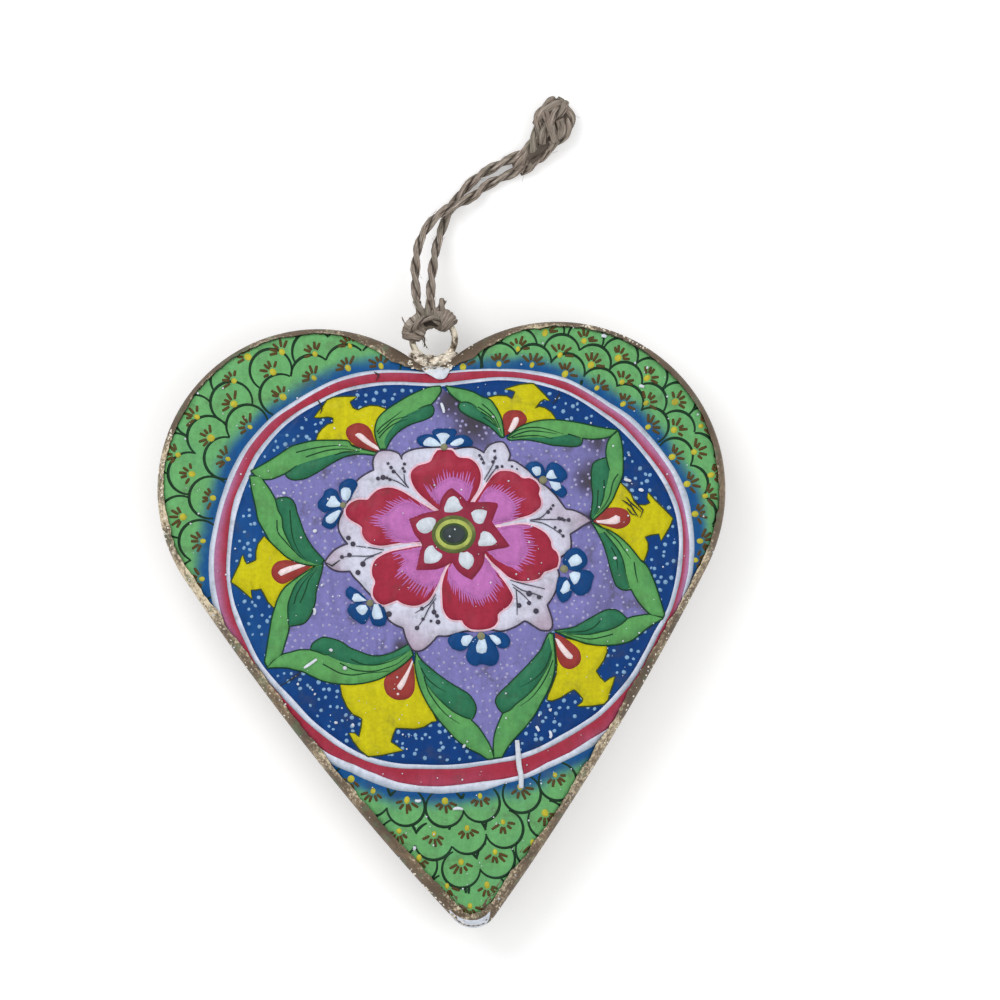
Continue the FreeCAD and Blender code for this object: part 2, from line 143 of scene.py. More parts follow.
# Colours of the panel: name, six hex digits and what it is for.
COLOURS = (
    ("scale_green", "66A868", "Ground of the scale pattern"),
    ("scale_haze", "0E4E88", "Blue haze round the medallion"),
    ("scale_line", "12301C", "Arcs of the scales"),
    ("stroke_brown", "54401F", "Short strokes in each scale"),
    ("dot_yellow", "C0B83A", "Dot in each scale"),
    ("ring_white", "D6DCEC", "White lines of the ring"),
    ("ring_red", "A02E42", "Red band of the ring"),
    ("ring_mauve", "B27AA4", "Faded outer part of the red band"),
    ("blue", "003878", "Ground of the medallion"),
    ("pale_blue", "88B0D2", "Specks on the blue ground"),
    ("yellow", "C6BE0A", "Yellow blossoms"),
    ("drop_red", "963834", "Drops at the foot of the blossoms"),
    ("drop_light", "F0DDE0", "Pale strokes on the drops"),
    ("leaf_green", "5C9F5A", "Light part of the leaves"),
    ("leaf_shade", "2A7050", "Blue-green part of the leaves"),
    ("leaf_line", "123F24", "Veins and outlines of the leaves"),
    ("lilac", "7A77B4", "Six-pointed star under the flower"),
    ("pale_lilac", "A8A4CC", "Specks on the star"),
    ("field", "D2D4E6", "Six-lobed field round the petals"),
    ("field_line", "464050", "Outline of the white field"),
    ("petal", "9E2A40", "Petals of the flower"),
    ("petal_pink", "BC70B4", "Heart of each petal"),
    ("petal_edge", "F2CCDC", "Pale edge of each petal"),
    ("crimson", "8E2A42", "Star between the lozenges"),
    ("lozenge", "D6DEE8", "Six pale lozenges"),
    ("eye_olive", "5A6838", "Mottled rim of the flower's eye"),
    ("eye_green", "B2BE62", "Bright ring of the eye"),
    ("pupil", "3A4244", "Dark middle of the eye"),
    ("small_blue", "05427C", "Blue petals of the small flowers"),
    ("small_white", "CFE2F4", "White petals of the small flowers"),
    ("bronze", "7C6850", "Bronze paint of the rim and the back"),
    # Cream also paints the highlight on the left flank of the bronze.
    ("cream", "E2D2B2", "Scraped and worn bronze"),
    ("primer", "D8DEE8", "Bare primer and chips"),
    ("gilt", "DCD2BE", "Gilt of the ring and its solder"),
    ("jute", "988A7E", "Jute fibre"),
    # The dark jute colour also paints the shade in the grooves between plies and runs.
    ("jute_dark", "2C231E", "Hollows between the fibres"),
    ("jute_light", "DED4CA", "Lit fibres"),
)
TONES = {"soil": "4A4638", "bronze_shadow": "54473A", "bronze_dark": "574636", "pits": "5A4C3A",
         "verdigris": "5C7456", "tarnish": "574735", "grey_jute": "6C7262"}

# Noise: its scale, detail and roughness, and how it is stretched where it is.
NOISES = {
    "paint_broad": (90, 2, 0.55),
    "paint_fine": (1100, 4, 0.7),
    "paint_streaks": (700, 2, 0.5, (1, 0.22, 1)),
    "paint_soil": (210, 5, 0.68),
    "bronze_broad": (120, 4, 0.6),
    "bronze_fine": (1500, 4, 0.7),
    "bronze_patches": (34, 2, 0.55),
    "bronze_pits": (900, 4, 0.7),
    "verdigris": (260, 3, 0.55),
    "gilt_broad": (420, 3, 0.6),
    "gilt_fine": (1900, 4, 0.7),
    "jute_broad": (260, 3, 0.55),
    "jute_fibres": (1, 3, 0.6, (9, 0.9, 1)),
    "jute_fine": (1, 3, 0.7, (24, 2.2, 1)),
}
# Shares of the first and the second noise in the grain of a finish.
GRAINS = {"bronze": (0.45, 0.55), "gilt": (0.65, 0.35), "jute": (0.6, 0.4), "paint": (0.6, 0.5)}
# Bumps: strength, and depth in millimetres.
BUMPS = {"paint": (0.25, 0.08), "bronze": (0.5, 0.2), "gilt_wire": (0.8, 0.12),
         "gilt_solder": (0.8, 0.5), "jute": (1, 0.3)}
# Ramps: from where to where a value is read, and what it becomes at each end, 0 and 1 where not
# given. Those of the flank, the lobe, the top and the foot are read at places in metres.
RAMPS = {
    "paint_drift": (0.3, 0.7, -0.5, 0.5),
    "paint_second": (0, 1),
    "paint_streaks": (0.25, 0.75, 0.92, 1.07),
    "paint_fine": (0.2, 0.8, 0.86, 1.12),
    "paint_soil": (0.52, 0.72),
    "paint_rough": (0.2, 0.8, 0.42, 0.62),
    "left_flank": (-0.03, -0.064),
    "below_lobe": (0.052, 0.03),
    "bronze_patches": (0.42, 0.68, -0.03, 0.09),
    "bronze_edge": (0.55, 0.1),
    "bronze_cream": (0.08, 0.26),
    "bronze_shadow": (0.3, 0.62),
    "dark_top": (0.036, 0.052, 0, 0.8),
    "dark_foot": (-0.054, -0.063, 0, 0.8),
    "bronze_pits": (0.5, 0.4, 0, 0.75),
    "verdigris": (0.56, 0.7, 0, 0.5),
    "bronze_rough": (0.2, 0.8, 0.38, 0.62),
    "bronze_metal": (0.4, 0.7, 0.45, 0.1),
    "gilt_bright": (0, 0.14),
    "gilt_rough": (0.42, 0.6, 0.55, 0.28),
    "gilt_metal": (0.4, 0.55, 0.2, 1),
    "jute_body": (0.38, 0.5),
    "jute_lit": (0.5, 0.66),
    "jute_grey": (0.45, 0.7, 0, 0.35),
    "jute_painted_shade": (0.78, 0.2, 0, 0.9),
    "jute_rough": (0.3, 0.7, 0.95, 0.7),
    "floor_glow": (0, 1, 0, 0.28),
    "sky": (0, 1, 0.72, 1),
}
PAINT_GLOSS = {"Specular IOR Level": 0.12, "Coat Weight": 0.06, "Coat Roughness": 0.3}
DULL_JUTE = {"Specular IOR Level": 0.2}
FLOOR_WHITE = {"Base Color": (0.9, 0.9, 0.9, 1), "Roughness": 0.9, "Specular IOR Level": 0,
               "Emission Strength": 1.0}
WHITE = (1, 1, 1, 1)
MIX_A, MIX_B, MIX_RESULT = 6, 7, 2

# Scales, in pixels and degrees: their lines, the steps round an arc, dots and five strokes.
LINE_WIDTH = 3
ARC_STEP = 6
ARC_STEPS = 26
ARC_TAPER = 0.6
HIDDEN_MARGIN = 0.5
DOT_SIZES = (2.7, 4)
DOT_SQUASH = (0.7, 0.95)
STROKE_LEANS = (-66, -35, -5, 28, 60)
LEAN_SPREAD = 7
STROKE_STARTS = (4.2, 5.4)
STROKE_ENDS = (10.5, 14)
STROKE_TAPER = (0.7, 0.75)

# Where shades change: from, to and the most, in pixels. The painted light that makes the blue
# ground paler to the left is in metres, and a dark place's edge in shares of its reach.
HAZE_PIXELS = (19.5, 4.5)
FADED_RIGHT_X, FADED_RIGHT_Y = (540, 650, 0.7), (730, 640)
FADED_LEFT_X, FADED_LEFT_Y = (260, 230, 0.6), (440, 500)
RING_FADE = 0.22
BLUE_PAINTED_LIGHT = (-0.02, -0.08, 0.55)
# The star's painted shade: darker toward the right.
STAR_SHADOW = (510, 910, 0.28)
GRIME_FADE = (1.1, 0.1, 0.9)
FIELD_SHADOW = (88, 133, 0.8)
GROUND_EDGE = 0.7

# Strokes: width in pixels, and its shares at the start and the end.
VEIN_WIDTH = 1.25
STAMEN_STROKE = (1.1, 0.7, 0.6)
TICK_STROKE = (1.5, 0.9, 0.2)
CHIP_STROKE = (3, 0.7, 0.7)
DRIP_STROKE = (5.2, 0.8, 0.9)
GRIME_STROKE = (1.6, 0.4, 0.3)

# Specks on the grounds: how they stray from their grid, how many are kept and their forms, then
# the spacing and radius of both kinds in pixels.
SPECK_STRAY = 0.35
SPECK_CHANCE = 0.88
SPECK_ROWS = 0.9
SPECK_SIZES = (0.7, 1.15)
SPECK_SQUASH = (0.75, 1)
ANY_TURN = (0, 3)
BLUE_SPECKS = (9.2, 2.1)
LILAC_SPECKS = (8.5, 1.6)

# Pale ticks round the hearts of the petals.
TICK_STEP = 3.4
TICK_CLEAR = 34
TICK_STRAY = 0.14
TICK_LENGTHS = (5, 11)
TICK_ROOT = 3

# The fine primer flecks: how many, how likely at the top, how much more at the foot, their sizes.
SPATTER_COUNT = 330
SPATTER_TOP = 0.45
SPATTER_FOOT = 0.5
SPATTER_SIZES = (0.4, 0.45, 0.55, 0.7, 1)
CHIP_SHARE = 0.9
CHIP_SQUASH = (0.6, 1)
# Bright flecks on the rim, scrape marks and painted glints: the least distance inward, their sizes,
# forms and lean.
FLECK_INSET = 1.2
FLECK_SIZES = (0.4, 1.5)
FLECK_SQUASH = (0.35, 0.8)
FLECK_LEAN = 0.5
# The rim's painted edge wanders: the scale, the height in the noise and the reach in pixels.
RIM_WANDERS = ((0.16, 0, 2.2), (0.6, 5, 1.2))

# Solder beads: how they are drawn out, and the scale and reach of their lumps.
BEAD_SCALE = (1.25, 0.95, 0.8)
BEAD_LUMPS = ((900, 0.35), (2400, 0.14))

# Twine: points round a ply and their roughness, the plies' distance from the middle and radius
# as shares of the width for none, one and more, and the turns and seeds of one run to the next.
PLY_SIDES = 14
PLY_ROUGHNESS = 0.22
LINE_STEP = 0.17
LUMP_ROUND = 1.3
LUMP_ALONG = 0.45
PLY_PLACES = ((0, 0.5), (0, 0.5), (0.2, 0.34))
RUN_TURN = 1.7
RUN_SEED = 7.3
PLY_SEED = 3.1
# Depth in millimetres, below a single ply's line, of the point its painted shade faces: the ply
# looks lit on top and shaded on its sides.
SHADE_CORE_DEPTH = 3
# Stray fibres: radius in millimetres, shade, and where and how far they stand out.
HAIR_RADIUS = 0.04
HAIR_SIDES = 3
HAIR_SHADE = 0.75
HAIR_SHARES = (0, 0.33, 0.66, 1)
HAIR_ROOT = 0.42
HAIR_LENGTHS = (0.4, 1.2)
HAIR_AHEAD = (0.6, 1.5)
HAIR_OUT = (0.15, 0.6)
HAIR_BOW = (-0.25, 0.15)
# The hitch and the knot: steps to a turn, the form of the swell, then widths, one of them the dark
# tube of painted shadow under the strap, and the lengths of a turn of the plies in millimetres, and
# the painted shade of the dark tubes inside the knot.
HITCH_STEPS = 56
HITCH_SWELL = 0.6
STRAY_WIDTH, STRAY_TWIST = 0.3, 3
TAIL_WIDTH, TAIL_TWIST = 1.7, 6
SHADOW_TUBE_WIDTH = 1.4
STRAP_TWIST = 7
KNOT_TWIST = 9
KNOT_PAINTED_SHADE = 0.42

# Studio lamps: name, place and size in metres, and power in watts.
LAMPS = (("key", (-0.45, 0.55, 0.8), 0.6, 3.6), ("fill", (0.6, -0.2, 0.9), 0.8, 1.6))
FLOOR_SIZE = 4
FLOOR_HEIGHT = -0.0002
CAMERA_HEIGHT = 1

# The medallion's ring: points of the blue ground's edge in pixels, and there the widths of the
# inner white line, the red band and the outer white line. The points of outlines and strokes
# that follow are runs of pixels, x and y in turn.
RING = (
    (440,386.5,3.5,9,2.5), (470,383.2,3.4,8.4,1.9), (500,380.3,3.2,5.9,2.2), (530,383,3.3,5.5,3.7),
    (560,391,2.8,7.4,3.9), (580,400.8,3,7.5,3.4), (600,414.2,3.9,7,3.9), (620,429.8,4.7,7.6,5),
    (640,451,3.9,8.9,4.7), (660,478.3,4.6,8,5.1), (671,500,4.9,5.4,7), (676.8,520,4.7,4.7,5.8),
    (679,545,4,6.2,5.2), (676.8,570,4.8,6.4,4.8), (673,590,4.2,5.9,5), (666.5,610,4.5,7,5),
    (654,632,5,9,5), (645,650,5.3,10,6), (628,678.5,5.5,12,6), (600,709.7,4.9,14.5,6),
    (580,724.1,4.9,13.3,7.4), (560,735.6,5.5,13.8,5.6), (540,746.5,4.9,12.6,5.8),
    (520,754,5,15.4,4.6), (500,758.3,4.1,16.8,4.7), (480,761.5,4.2,16,9), (460,764,4.6,15.8,7.6),
    (440,765,4,17.4,7.3), (420,764.5,4.3,17,6.4), (400,763.5,4.8,13.9,8.4),
    (380,759.8,5.3,9.3,9.3), (360,753,4.8,8,8.5), (338,740,5.5,11,8), (312.5,720,5.2,12,7),
    (294,700,6.5,12,6), (275,680,6,12,6), (260,661,4.9,12,6), (249.3,640,4.6,12,6),
    (241,620,5.5,11.4,6), (233.8,600,3.9,11.4,6.1), (230.2,575,3.8,12,5.5),
    (231.1,550,3.8,12.6,5.3), (235.3,520,5.1,9.8,4.8), (240.7,500,6.4,8,5),
    (248.1,480,4.9,9.2,5.4), (260,455.8,4.8,8.6,4.3), (280,430.7,3.8,8.4,3.5),
    (300,414.6,3.8,6.3,4.2), (320,403.4,3.4,7.9,3.8), (340,393.7,3.2,8.4,3.4),
    (360,388.7,3.7,8.7,3.7), (380,385.5,3.2,9.1,3.2), (400,384.9,3.2,9,2.5),
    (420,385.8,3,9.1,2.1),
)
LILAC_STAR = (442,388, 505,437, 617,431, 590,520, 663,617, 552,631, 494,757, 414,652, 268,667,
              322,563, 250,475, 380,449)
LEAVES = (
    (380,449, 376.5,440, 375,430, 378,419, 386,410.5, 398,402.5, 412,394.5, 428,387.8, 440,386.3,
     441,391, 436,399, 431,404.5, 433.8,409, 432,415.5, 424,419.8, 410,424.5, 399,431, 390.5,440,
     386,449),
    (378,453, 365,450, 352,446, 348,441, 330,440.5, 314,441, 300,444, 290,447.5, 275,457.5,
     258,467.5, 251,471, 256,476, 262,479, 270,479.3, 277,477, 285,473.5, 288,477.5, 294,479.8,
     306,478, 320,470.5, 332,463, 345,456.5, 360,454, 376,455.5),
    (446,386, 456,388, 466,390, 475,393, 482,397, 490,400, 496,408, 501,418, 503,428, 504,437,
     501,437, 496,432, 490,427, 482,422, 474,418.5, 466,414.5, 460,410, 458.5,406, 461,402,
     455,398, 449,392),
    (507,438, 513,432, 520,427, 530,423, 542,420.5, 556,420, 570,421.5, 584,424, 600,427.5,
     617,430, 612,435, 608,437, 600,438.5, 590,439, 582,438, 582,442, 580,445, 574,446.5, 565,446,
     553,445, 540,442, 530,440, 520,439.5, 510,440),
    (618,431, 621,440, 622.5,450, 623,462, 622.5,475, 620,482, 616,491, 612,500, 606,508, 600,514,
     593,520, 591,517, 592,508, 593,497, 592,487, 591.5,475, 592.5,466, 595,462, 600,459.5,
     606.5,458, 606,452, 607.5,443, 611,437),
    (592,522, 600,527, 610,531, 618,536, 627,544, 634,552, 641,561, 645,564, 650,572, 655,584,
     659,596, 662,606, 664,614, 663,617, 656,616, 650,614, 642,606, 636,598, 631,589, 627,590,
     621,589, 616,585, 613,577, 610,567, 607,555, 603,543, 598,533),
    (555,631, 566,629, 575,627, 582,623, 590,618.5, 600,613, 607,610, 615,610, 621,613, 627,619,
     632,617, 640,615.5, 650,614.5, 660,617, 663,618, 655,623, 647,628, 640,634, 632,640,
     622,643.5, 610,645, 598,645, 586,643, 575,639.5, 566,636),
    (549,633, 553,634, 554,645, 555,660, 554,672, 551,683, 546,694, 541,703, 535,714, 525,727,
     515,738, 507,748, 502,757, 494,758, 493.5,745, 495,733, 499,722, 503,713, 499,709, 496,703,
     496,699, 499,694, 508,685, 517,676, 527,666, 536,656, 541,650, 545,641),
    (416,652, 421,660, 430,668, 440,676, 450,683, 460,689, 468,694, 473,700, 476,708, 474,716,
     471,720, 478,727, 485,737, 491,748, 494,758, 488,759, 480,754, 468,748, 456,739, 447,729,
     440,721, 434,713, 428,704, 421,690, 417,677, 415,665),
    (412,652, 409,644, 402,648, 392,653, 380,656, 370,655.5, 360,652, 350,648, 343,643, 336,640,
     328,638, 323,637.5, 316,641, 312,645, 310.5,650, 300,650, 290,652.5, 281,655, 274,660,
     267,668, 278,667.5, 288,668, 296,670, 303,671.5, 312,676, 322,680.5, 333,683, 343,684,
     355,684, 368,682, 380,678.5, 390,673, 398,668, 406,662, 413,655),
    (323,564, 316,566, 306,572, 297,578, 289,584, 283,590, 278,599, 275,608, 272,618, 270,630,
     268,642, 266,655, 265,662, 268,667, 273,661, 281,655, 285,643, 288,633, 289,626, 296,625,
     303,623.5, 308,619, 312,612, 315,602, 316,592, 318,584, 321,574),
    (250,476, 251,485, 253,495, 256,508, 258,519, 262,527, 266,534, 270,541, 278,549, 287,557,
     297,562, 308,565, 320,566, 324,560, 320,556, 313,548, 307,539, 303,530, 300,521, 297,513,
     295,505, 292,500, 287,497.5, 280,498, 275.5,500, 274,497, 270,490, 265,483, 260,477),
)
# The fold of each leaf. The leaf's own outline closes its dark half: from which point, how many
# and which way. Then the points of the dark half that carry a vein, and the other veins.
LEAF_FOLDS = (
    ((431,404.5, 425,406, 418,409, 404,416, 392,427, 384,440),
     (18, 7, -1), (0, 3),
     ((377,432, 381,427, 390,420, 398,414, 402,411), (378,434, 386,427, 394,420, 408,416),
      (379,438, 386,430, 396,423, 407,419.5))),
    ((285,473.5, 290,470.5, 297,465, 318,458, 345,452, 378,454),
     (23, 8, -1), (0, 3),
     ((296,452.5, 310,449, 325,446.5, 338,445.5, 348,446.5),
      (306,457, 318,453, 330,450, 345,449, 360,451.5), (335,455, 345,452, 360,452))),
    ((461,402.5, 466,402, 472,404, 477.5,408, 488,417, 498,429, 503,437),
     (10, 8, 1), (0, 4),
     ((482,404, 489,410, 495,417, 499,426, 502,434), (478,407, 487,413, 494,420, 499,430),
      (481,412, 490,418, 497,427), (483,417, 492,423, 498,428))),
    ((530,437, 550,437, 568,434, 575,436, 581,438),
     (15, 9, 1), (2, 5),
     ((508,437, 516,431, 526,428, 538,427.5, 550,430, 563,434),
      (509,438, 518,434, 530,431, 545,432, 557,434), (512,438, 525,436, 540,436, 553,439))),
    ((606.5,458, 608,465, 610,471, 606,490, 601,505),
     (10, 9, 1), (0, 3),
     ((618,474, 613,482, 610,495, 605,505, 597,514), (604,480, 604,495, 600,507, 595,515),
      (598,490, 597,505, 594,513))),
    ((604,532, 613,543, 620,553, 624,564, 626,575, 630,588),
     (19, 8, 1), (0, 6),
     ((606,530, 617,540, 625,551, 631,559), (611,547, 616,557, 618,570),
      (634,562, 636,575, 638,583))),
    ((627,619, 620,625, 610,629.5, 600,632, 588,634.5, 570,634, 558,632),
     (1, 8, 1), (0, 7),
     ((600,621, 594,627, 585,631, 570,632, 558,631.5),
      (613,634, 602,637, 590,639, 577,637, 566,634))),
    ((503,713, 510,710, 516,704, 525,697, 535,687, 543,675, 550,662, 552,650, 549,636),
     (27, 10, -1), (0, 8),
     ((551,652, 547,664, 540,674, 530,682, 520,687),
      (553,660, 547,675, 540,687, 531,698, 520,706))),
    ((471,719, 464,717, 456,713, 450,709, 440,700, 431,690, 424,680, 417,660),
     (1, 9, 1), (0, 7),
     ((424,676, 428,690, 434,700, 440,708, 448,716, 460,724),
      (421,668, 427,678, 436,686, 446,692))),
    ((310.5,650, 318,652, 325,655, 345,663, 370,666, 395,659, 412,650),
     (1, 13, 1), (0, 0),
     ((310.5,650, 318,652, 325,655, 330,654),
      (323,664, 332,669, 340,673, 352,675, 367,673, 380,672, 390,671),
      (340,663, 352,669, 362,671, 375,671, 386,668, 397,664, 407,656),
      (351,659, 362,664, 375,665, 388,662, 398,658, 407,652))),
    ((289,626, 288,617, 288,605, 291,595, 296,584, 304,576, 315,567),
     (0, 9, -1), (0, 7),
     ((294,604, 297,594, 303,583, 312,573), (300,603, 305,592, 309,580, 317,569))),
    ((275.5,500, 278,510, 282,518, 283,528, 287,538, 293,549, 300,557, 308,562),
     (12, 12, 1), (0, 8),
     ((277,520, 278,532, 285,541, 294,551, 303,559),
      (290,510, 291,525, 293,538, 298,550, 305,559))),
)
BLOSSOMS = (
    (316,441, 318,434, 322,429, 328,424, 333,423, 333,418, 328,417, 320,418, 314,417.5, 318,412,
     323,406, 327,400, 333,397.5, 342,396.5, 352,396.5, 357,397, 350,402, 353,408, 358,410,
     363,407.5, 370,405.5, 378,406, 384,408, 388,410.5, 381,418, 377,427, 376,437, 378,447,
     360,448, 345,442, 330,441),
    (491,402, 488,397.5, 497,395.5, 507,396, 512,399, 515,392, 510,390, 504,389.5, 511,387,
     520,384.5, 530,383.5, 534,384, 538,388, 545,395, 550,401, 544,399.5, 540,402, 535,409,
     539,406.5, 545,408, 551,412, 554,416, 556,420, 545,420.5, 532,422.5, 524,426, 515,432,
     506,434, 503,428, 501,418, 497,409),
    (620,482, 626,488, 631,494, 634,501, 637,504.5, 645,505, 650,503, 647,498, 648,492.5, 655,500,
     662,507, 668,513, 673,518.5, 670,526, 666,533, 661,541, 659,534, 651,535, 645,537, 648,543,
     648,550, 646,556, 644,561, 640,560, 633,551, 625,542, 615,534, 604,529, 598,524, 594,520,
     600,514, 608,507, 613,497, 617,488),
    (566,638, 575,640, 586,644, 598,645.5, 607,645.5, 607,652, 604,660, 600,666, 596,671, 600,677,
     605,682, 610,678, 615,676.5, 613,684, 610,692, 608,700, 604,704, 592,706, 580,706.5, 577,706,
     582,702, 583,699, 578,693, 574,689.5, 568,693, 560,698, 552,701, 547,700, 548,695, 552,686,
     556,675, 557,665, 556,650, 555,640),
    (340,684, 355,684.5, 370,682, 382,678, 395,671, 408,660, 415,664, 418,680, 423,693, 430,706,
     437,721, 432,722, 424,727, 415,729, 405,728.5, 396,728, 393,735, 391,742, 396,745, 403,750.5,
     392,753, 380,755.5, 368,756.5, 360,750, 353,741, 349,733, 355,733, 359,737, 361,728, 362,719,
     360,717.5, 353,714.5, 347,707, 342,696),
    (264,536, 268,540, 276,547, 285,555, 296,561, 308,565, 316,566, 306,572, 296,578, 288,585,
     281,592, 277,601, 274,608, 268,602, 264,594, 261,589, 256,590, 251,590, 252,599, 245,593,
     238,587, 231,582, 235,573, 239,565, 241,558, 243,555, 245,561, 247,564, 252,562, 256,560,
     256,552, 258,544),
)
DROPS = (
    (377,452, 365,449, 356,446, 349,440, 346,434, 347,428, 353,424, 359,423, 366,425, 371,430,
     374,438, 379,449),
    (505,436, 503,425, 503,416, 508,411, 514,410, 521,411, 526,416, 527,420, 525,424, 519,428,
     510,433),
    (592,520, 600,512, 608,508, 618,507.5, 626,510, 630,516, 630,522, 625,527, 617,529, 606,526,
     596,523),
    (555,633, 563,637, 572,643, 579,650, 581,658, 579,664, 571,669, 563,667, 558,660, 556,648),
    (412,658, 403,665, 393,671, 385,678, 384,686, 387,694, 394,699, 401,700, 409,698, 414,691,
     415,680, 414,668),
    (314,565, 298,562, 286,560, 277,562, 272,568, 272,576, 277,582, 283,584, 290,581, 297,577,
     307,570),
)
DROP_LIGHTS = (
    (355,435, 358,433, 362,434, 370,441, 378,447, 381,451, 375,449, 363,442),
    (508,431, 511,424, 514,418, 518,417, 519,420, 516,427, 511,433),
    (596,520.5, 608,519, 616,515, 620,517, 620,522, 616,524, 606,524, 597,522.5),
    (555,638, 558,639, 564,646, 573,656, 572,659, 567,658, 559,648),
    (412,660, 410,665, 405,674, 397,686, 398,689, 401,690, 405,684, 410,671, 413,662),
    (396.5,694, 398,692.5, 399.5,694, 398,695.5),
    (278,573, 280,570, 290,566, 300,564, 308,565, 300,568, 290,572, 281,576),
)
WHITE_FIELD = (
    402,456, 406,452.5, 414,449.5, 425,448, 440,447.5, 455,449, 465,447.5, 475,448, 484,453,
    486,449, 490,445, 496,442.5, 502,442, 505,444, 508,449, 510,455, 508,461, 514,461, 522,466,
    530,472, 537,480, 548,488, 556,496, 562,504, 566,509, 572,510, 580,513, 588,518, 591,521,
    584,525, 578,529, 570,534, 571,543, 570,550, 565,554, 560,558, 557,566, 559,575, 558,585,
    555,592, 552,598, 547,605, 550,613, 552,620, 552,627, 549,630.5, 541,630, 534,626, 527,621.5,
    524,621, 518,625, 508,629.5, 500,631, 490,629.5, 475,631, 465,631, 455,634, 446,636, 438,636,
    434,640, 428,646, 421,650.5, 414,650.5, 410,646, 406,638, 404,631, 403,628, 396,625, 389,620,
    386,614, 383,607, 378,601, 372,596, 366,590, 360,583, 354,577, 350,571, 342,571.5, 334,570,
    328,566, 325,562, 329,556, 335,550, 342,546, 348,544, 343,538, 339,530, 339,521, 343,512,
    347,504, 350,496, 352,488, 358,480, 366,474, 374,470, 373,464, 374,458, 378,452, 384,450.5,
    392,451, 399,454, 402,460)
PETALS = (
    (437,449, 452,449, 459,456, 470,457.5, 478,464, 482,475, 480,488, 473,500, 466,509, 452,516,
     440,512, 428,503, 417,493, 410.5,482, 410,472, 417,465, 429,461, 433,454),
    (493,474, 500,470, 510,470, 518,473, 523,477, 530,477, 537,481, 541,488, 540,494, 542,499,
     542,506, 538,511, 530,516, 520,519, 508,522, 495,525, 487,524, 478,512, 472,505, 476,498,
     482,489, 488,480),
    (492,527, 505,526, 515,523.5, 527,523.5, 538,527, 547,533, 552,541, 553,547, 558,552, 560,560,
     558,568, 550,571.5, 545,573, 540,579, 530,582, 518,582, 508,578, 500,571, 490,562, 484,554,
     480,548, 484,535),
    (480,549, 488,560, 497,571, 506,582, 512,592, 514,598, 510,606, 502,612, 499,615, 499,621,
     495,627, 488,630, 478,631, 470,630, 464,626, 461,621.5, 452,621, 446,617, 442,609, 441,598,
     441,585, 444,573, 450,562, 458,556),
    (448,563, 442,575, 436,590, 430,600, 420,606, 412,607, 403,605, 397,601.5, 391,604, 384,606,
     377,603, 372,596, 372,588, 374,582, 371,575, 371,567, 374,560, 380,555, 390,550.5, 402,548,
     412,546, 422,545, 432,548),
    (440,513, 428,506, 415,498, 404,491, 394,487, 386,486.5, 377,489, 370,495, 367,498.5,
     358,498.5, 350,502, 345,508, 345,515, 350,521, 358,525.5, 361,528, 361,534, 365,541,
     372,545.5, 382,547, 395,545, 408,543, 420,543, 427,535),
)
PETAL_HEARTS = (
    (430,494, 438,484, 450,477.5, 460,479, 469,485, 470,493, 466,500, 440,505),
    (484,493, 492,489, 498,490, 506,494, 512,500, 516,506, 514,515, 511,520, 495,524, 488,522,
     478,505),
    (496,529, 512,526, 524,527, 524,535, 527,545, 528,552, 524,560, 516,567, 508,565, 498,560,
     488,551),
    (484,556, 490,563, 494,573, 497,580, 494,588, 489,595, 480,600, 472,598, 462,592, 455,585,
     450,580, 449,570, 452,563),
    (398,552, 420,548, 419,560, 418,569, 430,570, 446,566, 438,580, 430,588, 422,586, 412,580,
     402,570, 406,562),
    (435,511, 420,507, 405,502, 395,506, 388,512, 378,518, 378,523, 388,530, 395,538, 410,542,
     420,540, 410,522, 412,517),
)
CRIMSON_STAR = (
    452,488, 462,496, 467,502, 480,502, 490,502, 497,503, 498,506, 495,514, 492,522, 498,530,
    504,538, 510,546, 505,548, 498,549, 485,552, 484,562, 480,570, 472,580, 464,576, 457,570,
    452,562, 446,566, 438,569, 428,570, 416,570, 418,562, 420,552, 422,545, 419,540, 414,533,
    411,525, 409,519, 415,517, 422,514, 431,512, 440,510, 440,503, 443,496, 448,490)
LOZENGES = (
    (449,498, 454,496, 458,499, 460,504, 463,508, 459,511, 452,512.5, 445,512, 444,509, 446,503),
    (471,513, 475,510, 482,509.5, 487,511, 486,516, 483,523, 479,524, 474,521),
    (481,533, 484,531, 490,533, 495,539, 497,542, 493,545, 486,546, 479,546, 478,543, 480,538),
    (459,556, 460,552, 464,552.5, 467,551.5, 472,555, 474,560, 472,566, 468,569.5, 463,567,
     459,562),
    (424,560, 425,551, 429,546, 433,545.5, 436,550, 442,554, 442,557, 437,562, 430,563.5,
     425,563),
    (416,525, 419,521, 425,518, 432,517.5, 436,520, 435,525, 431,531, 425,533.5, 419,531),
)
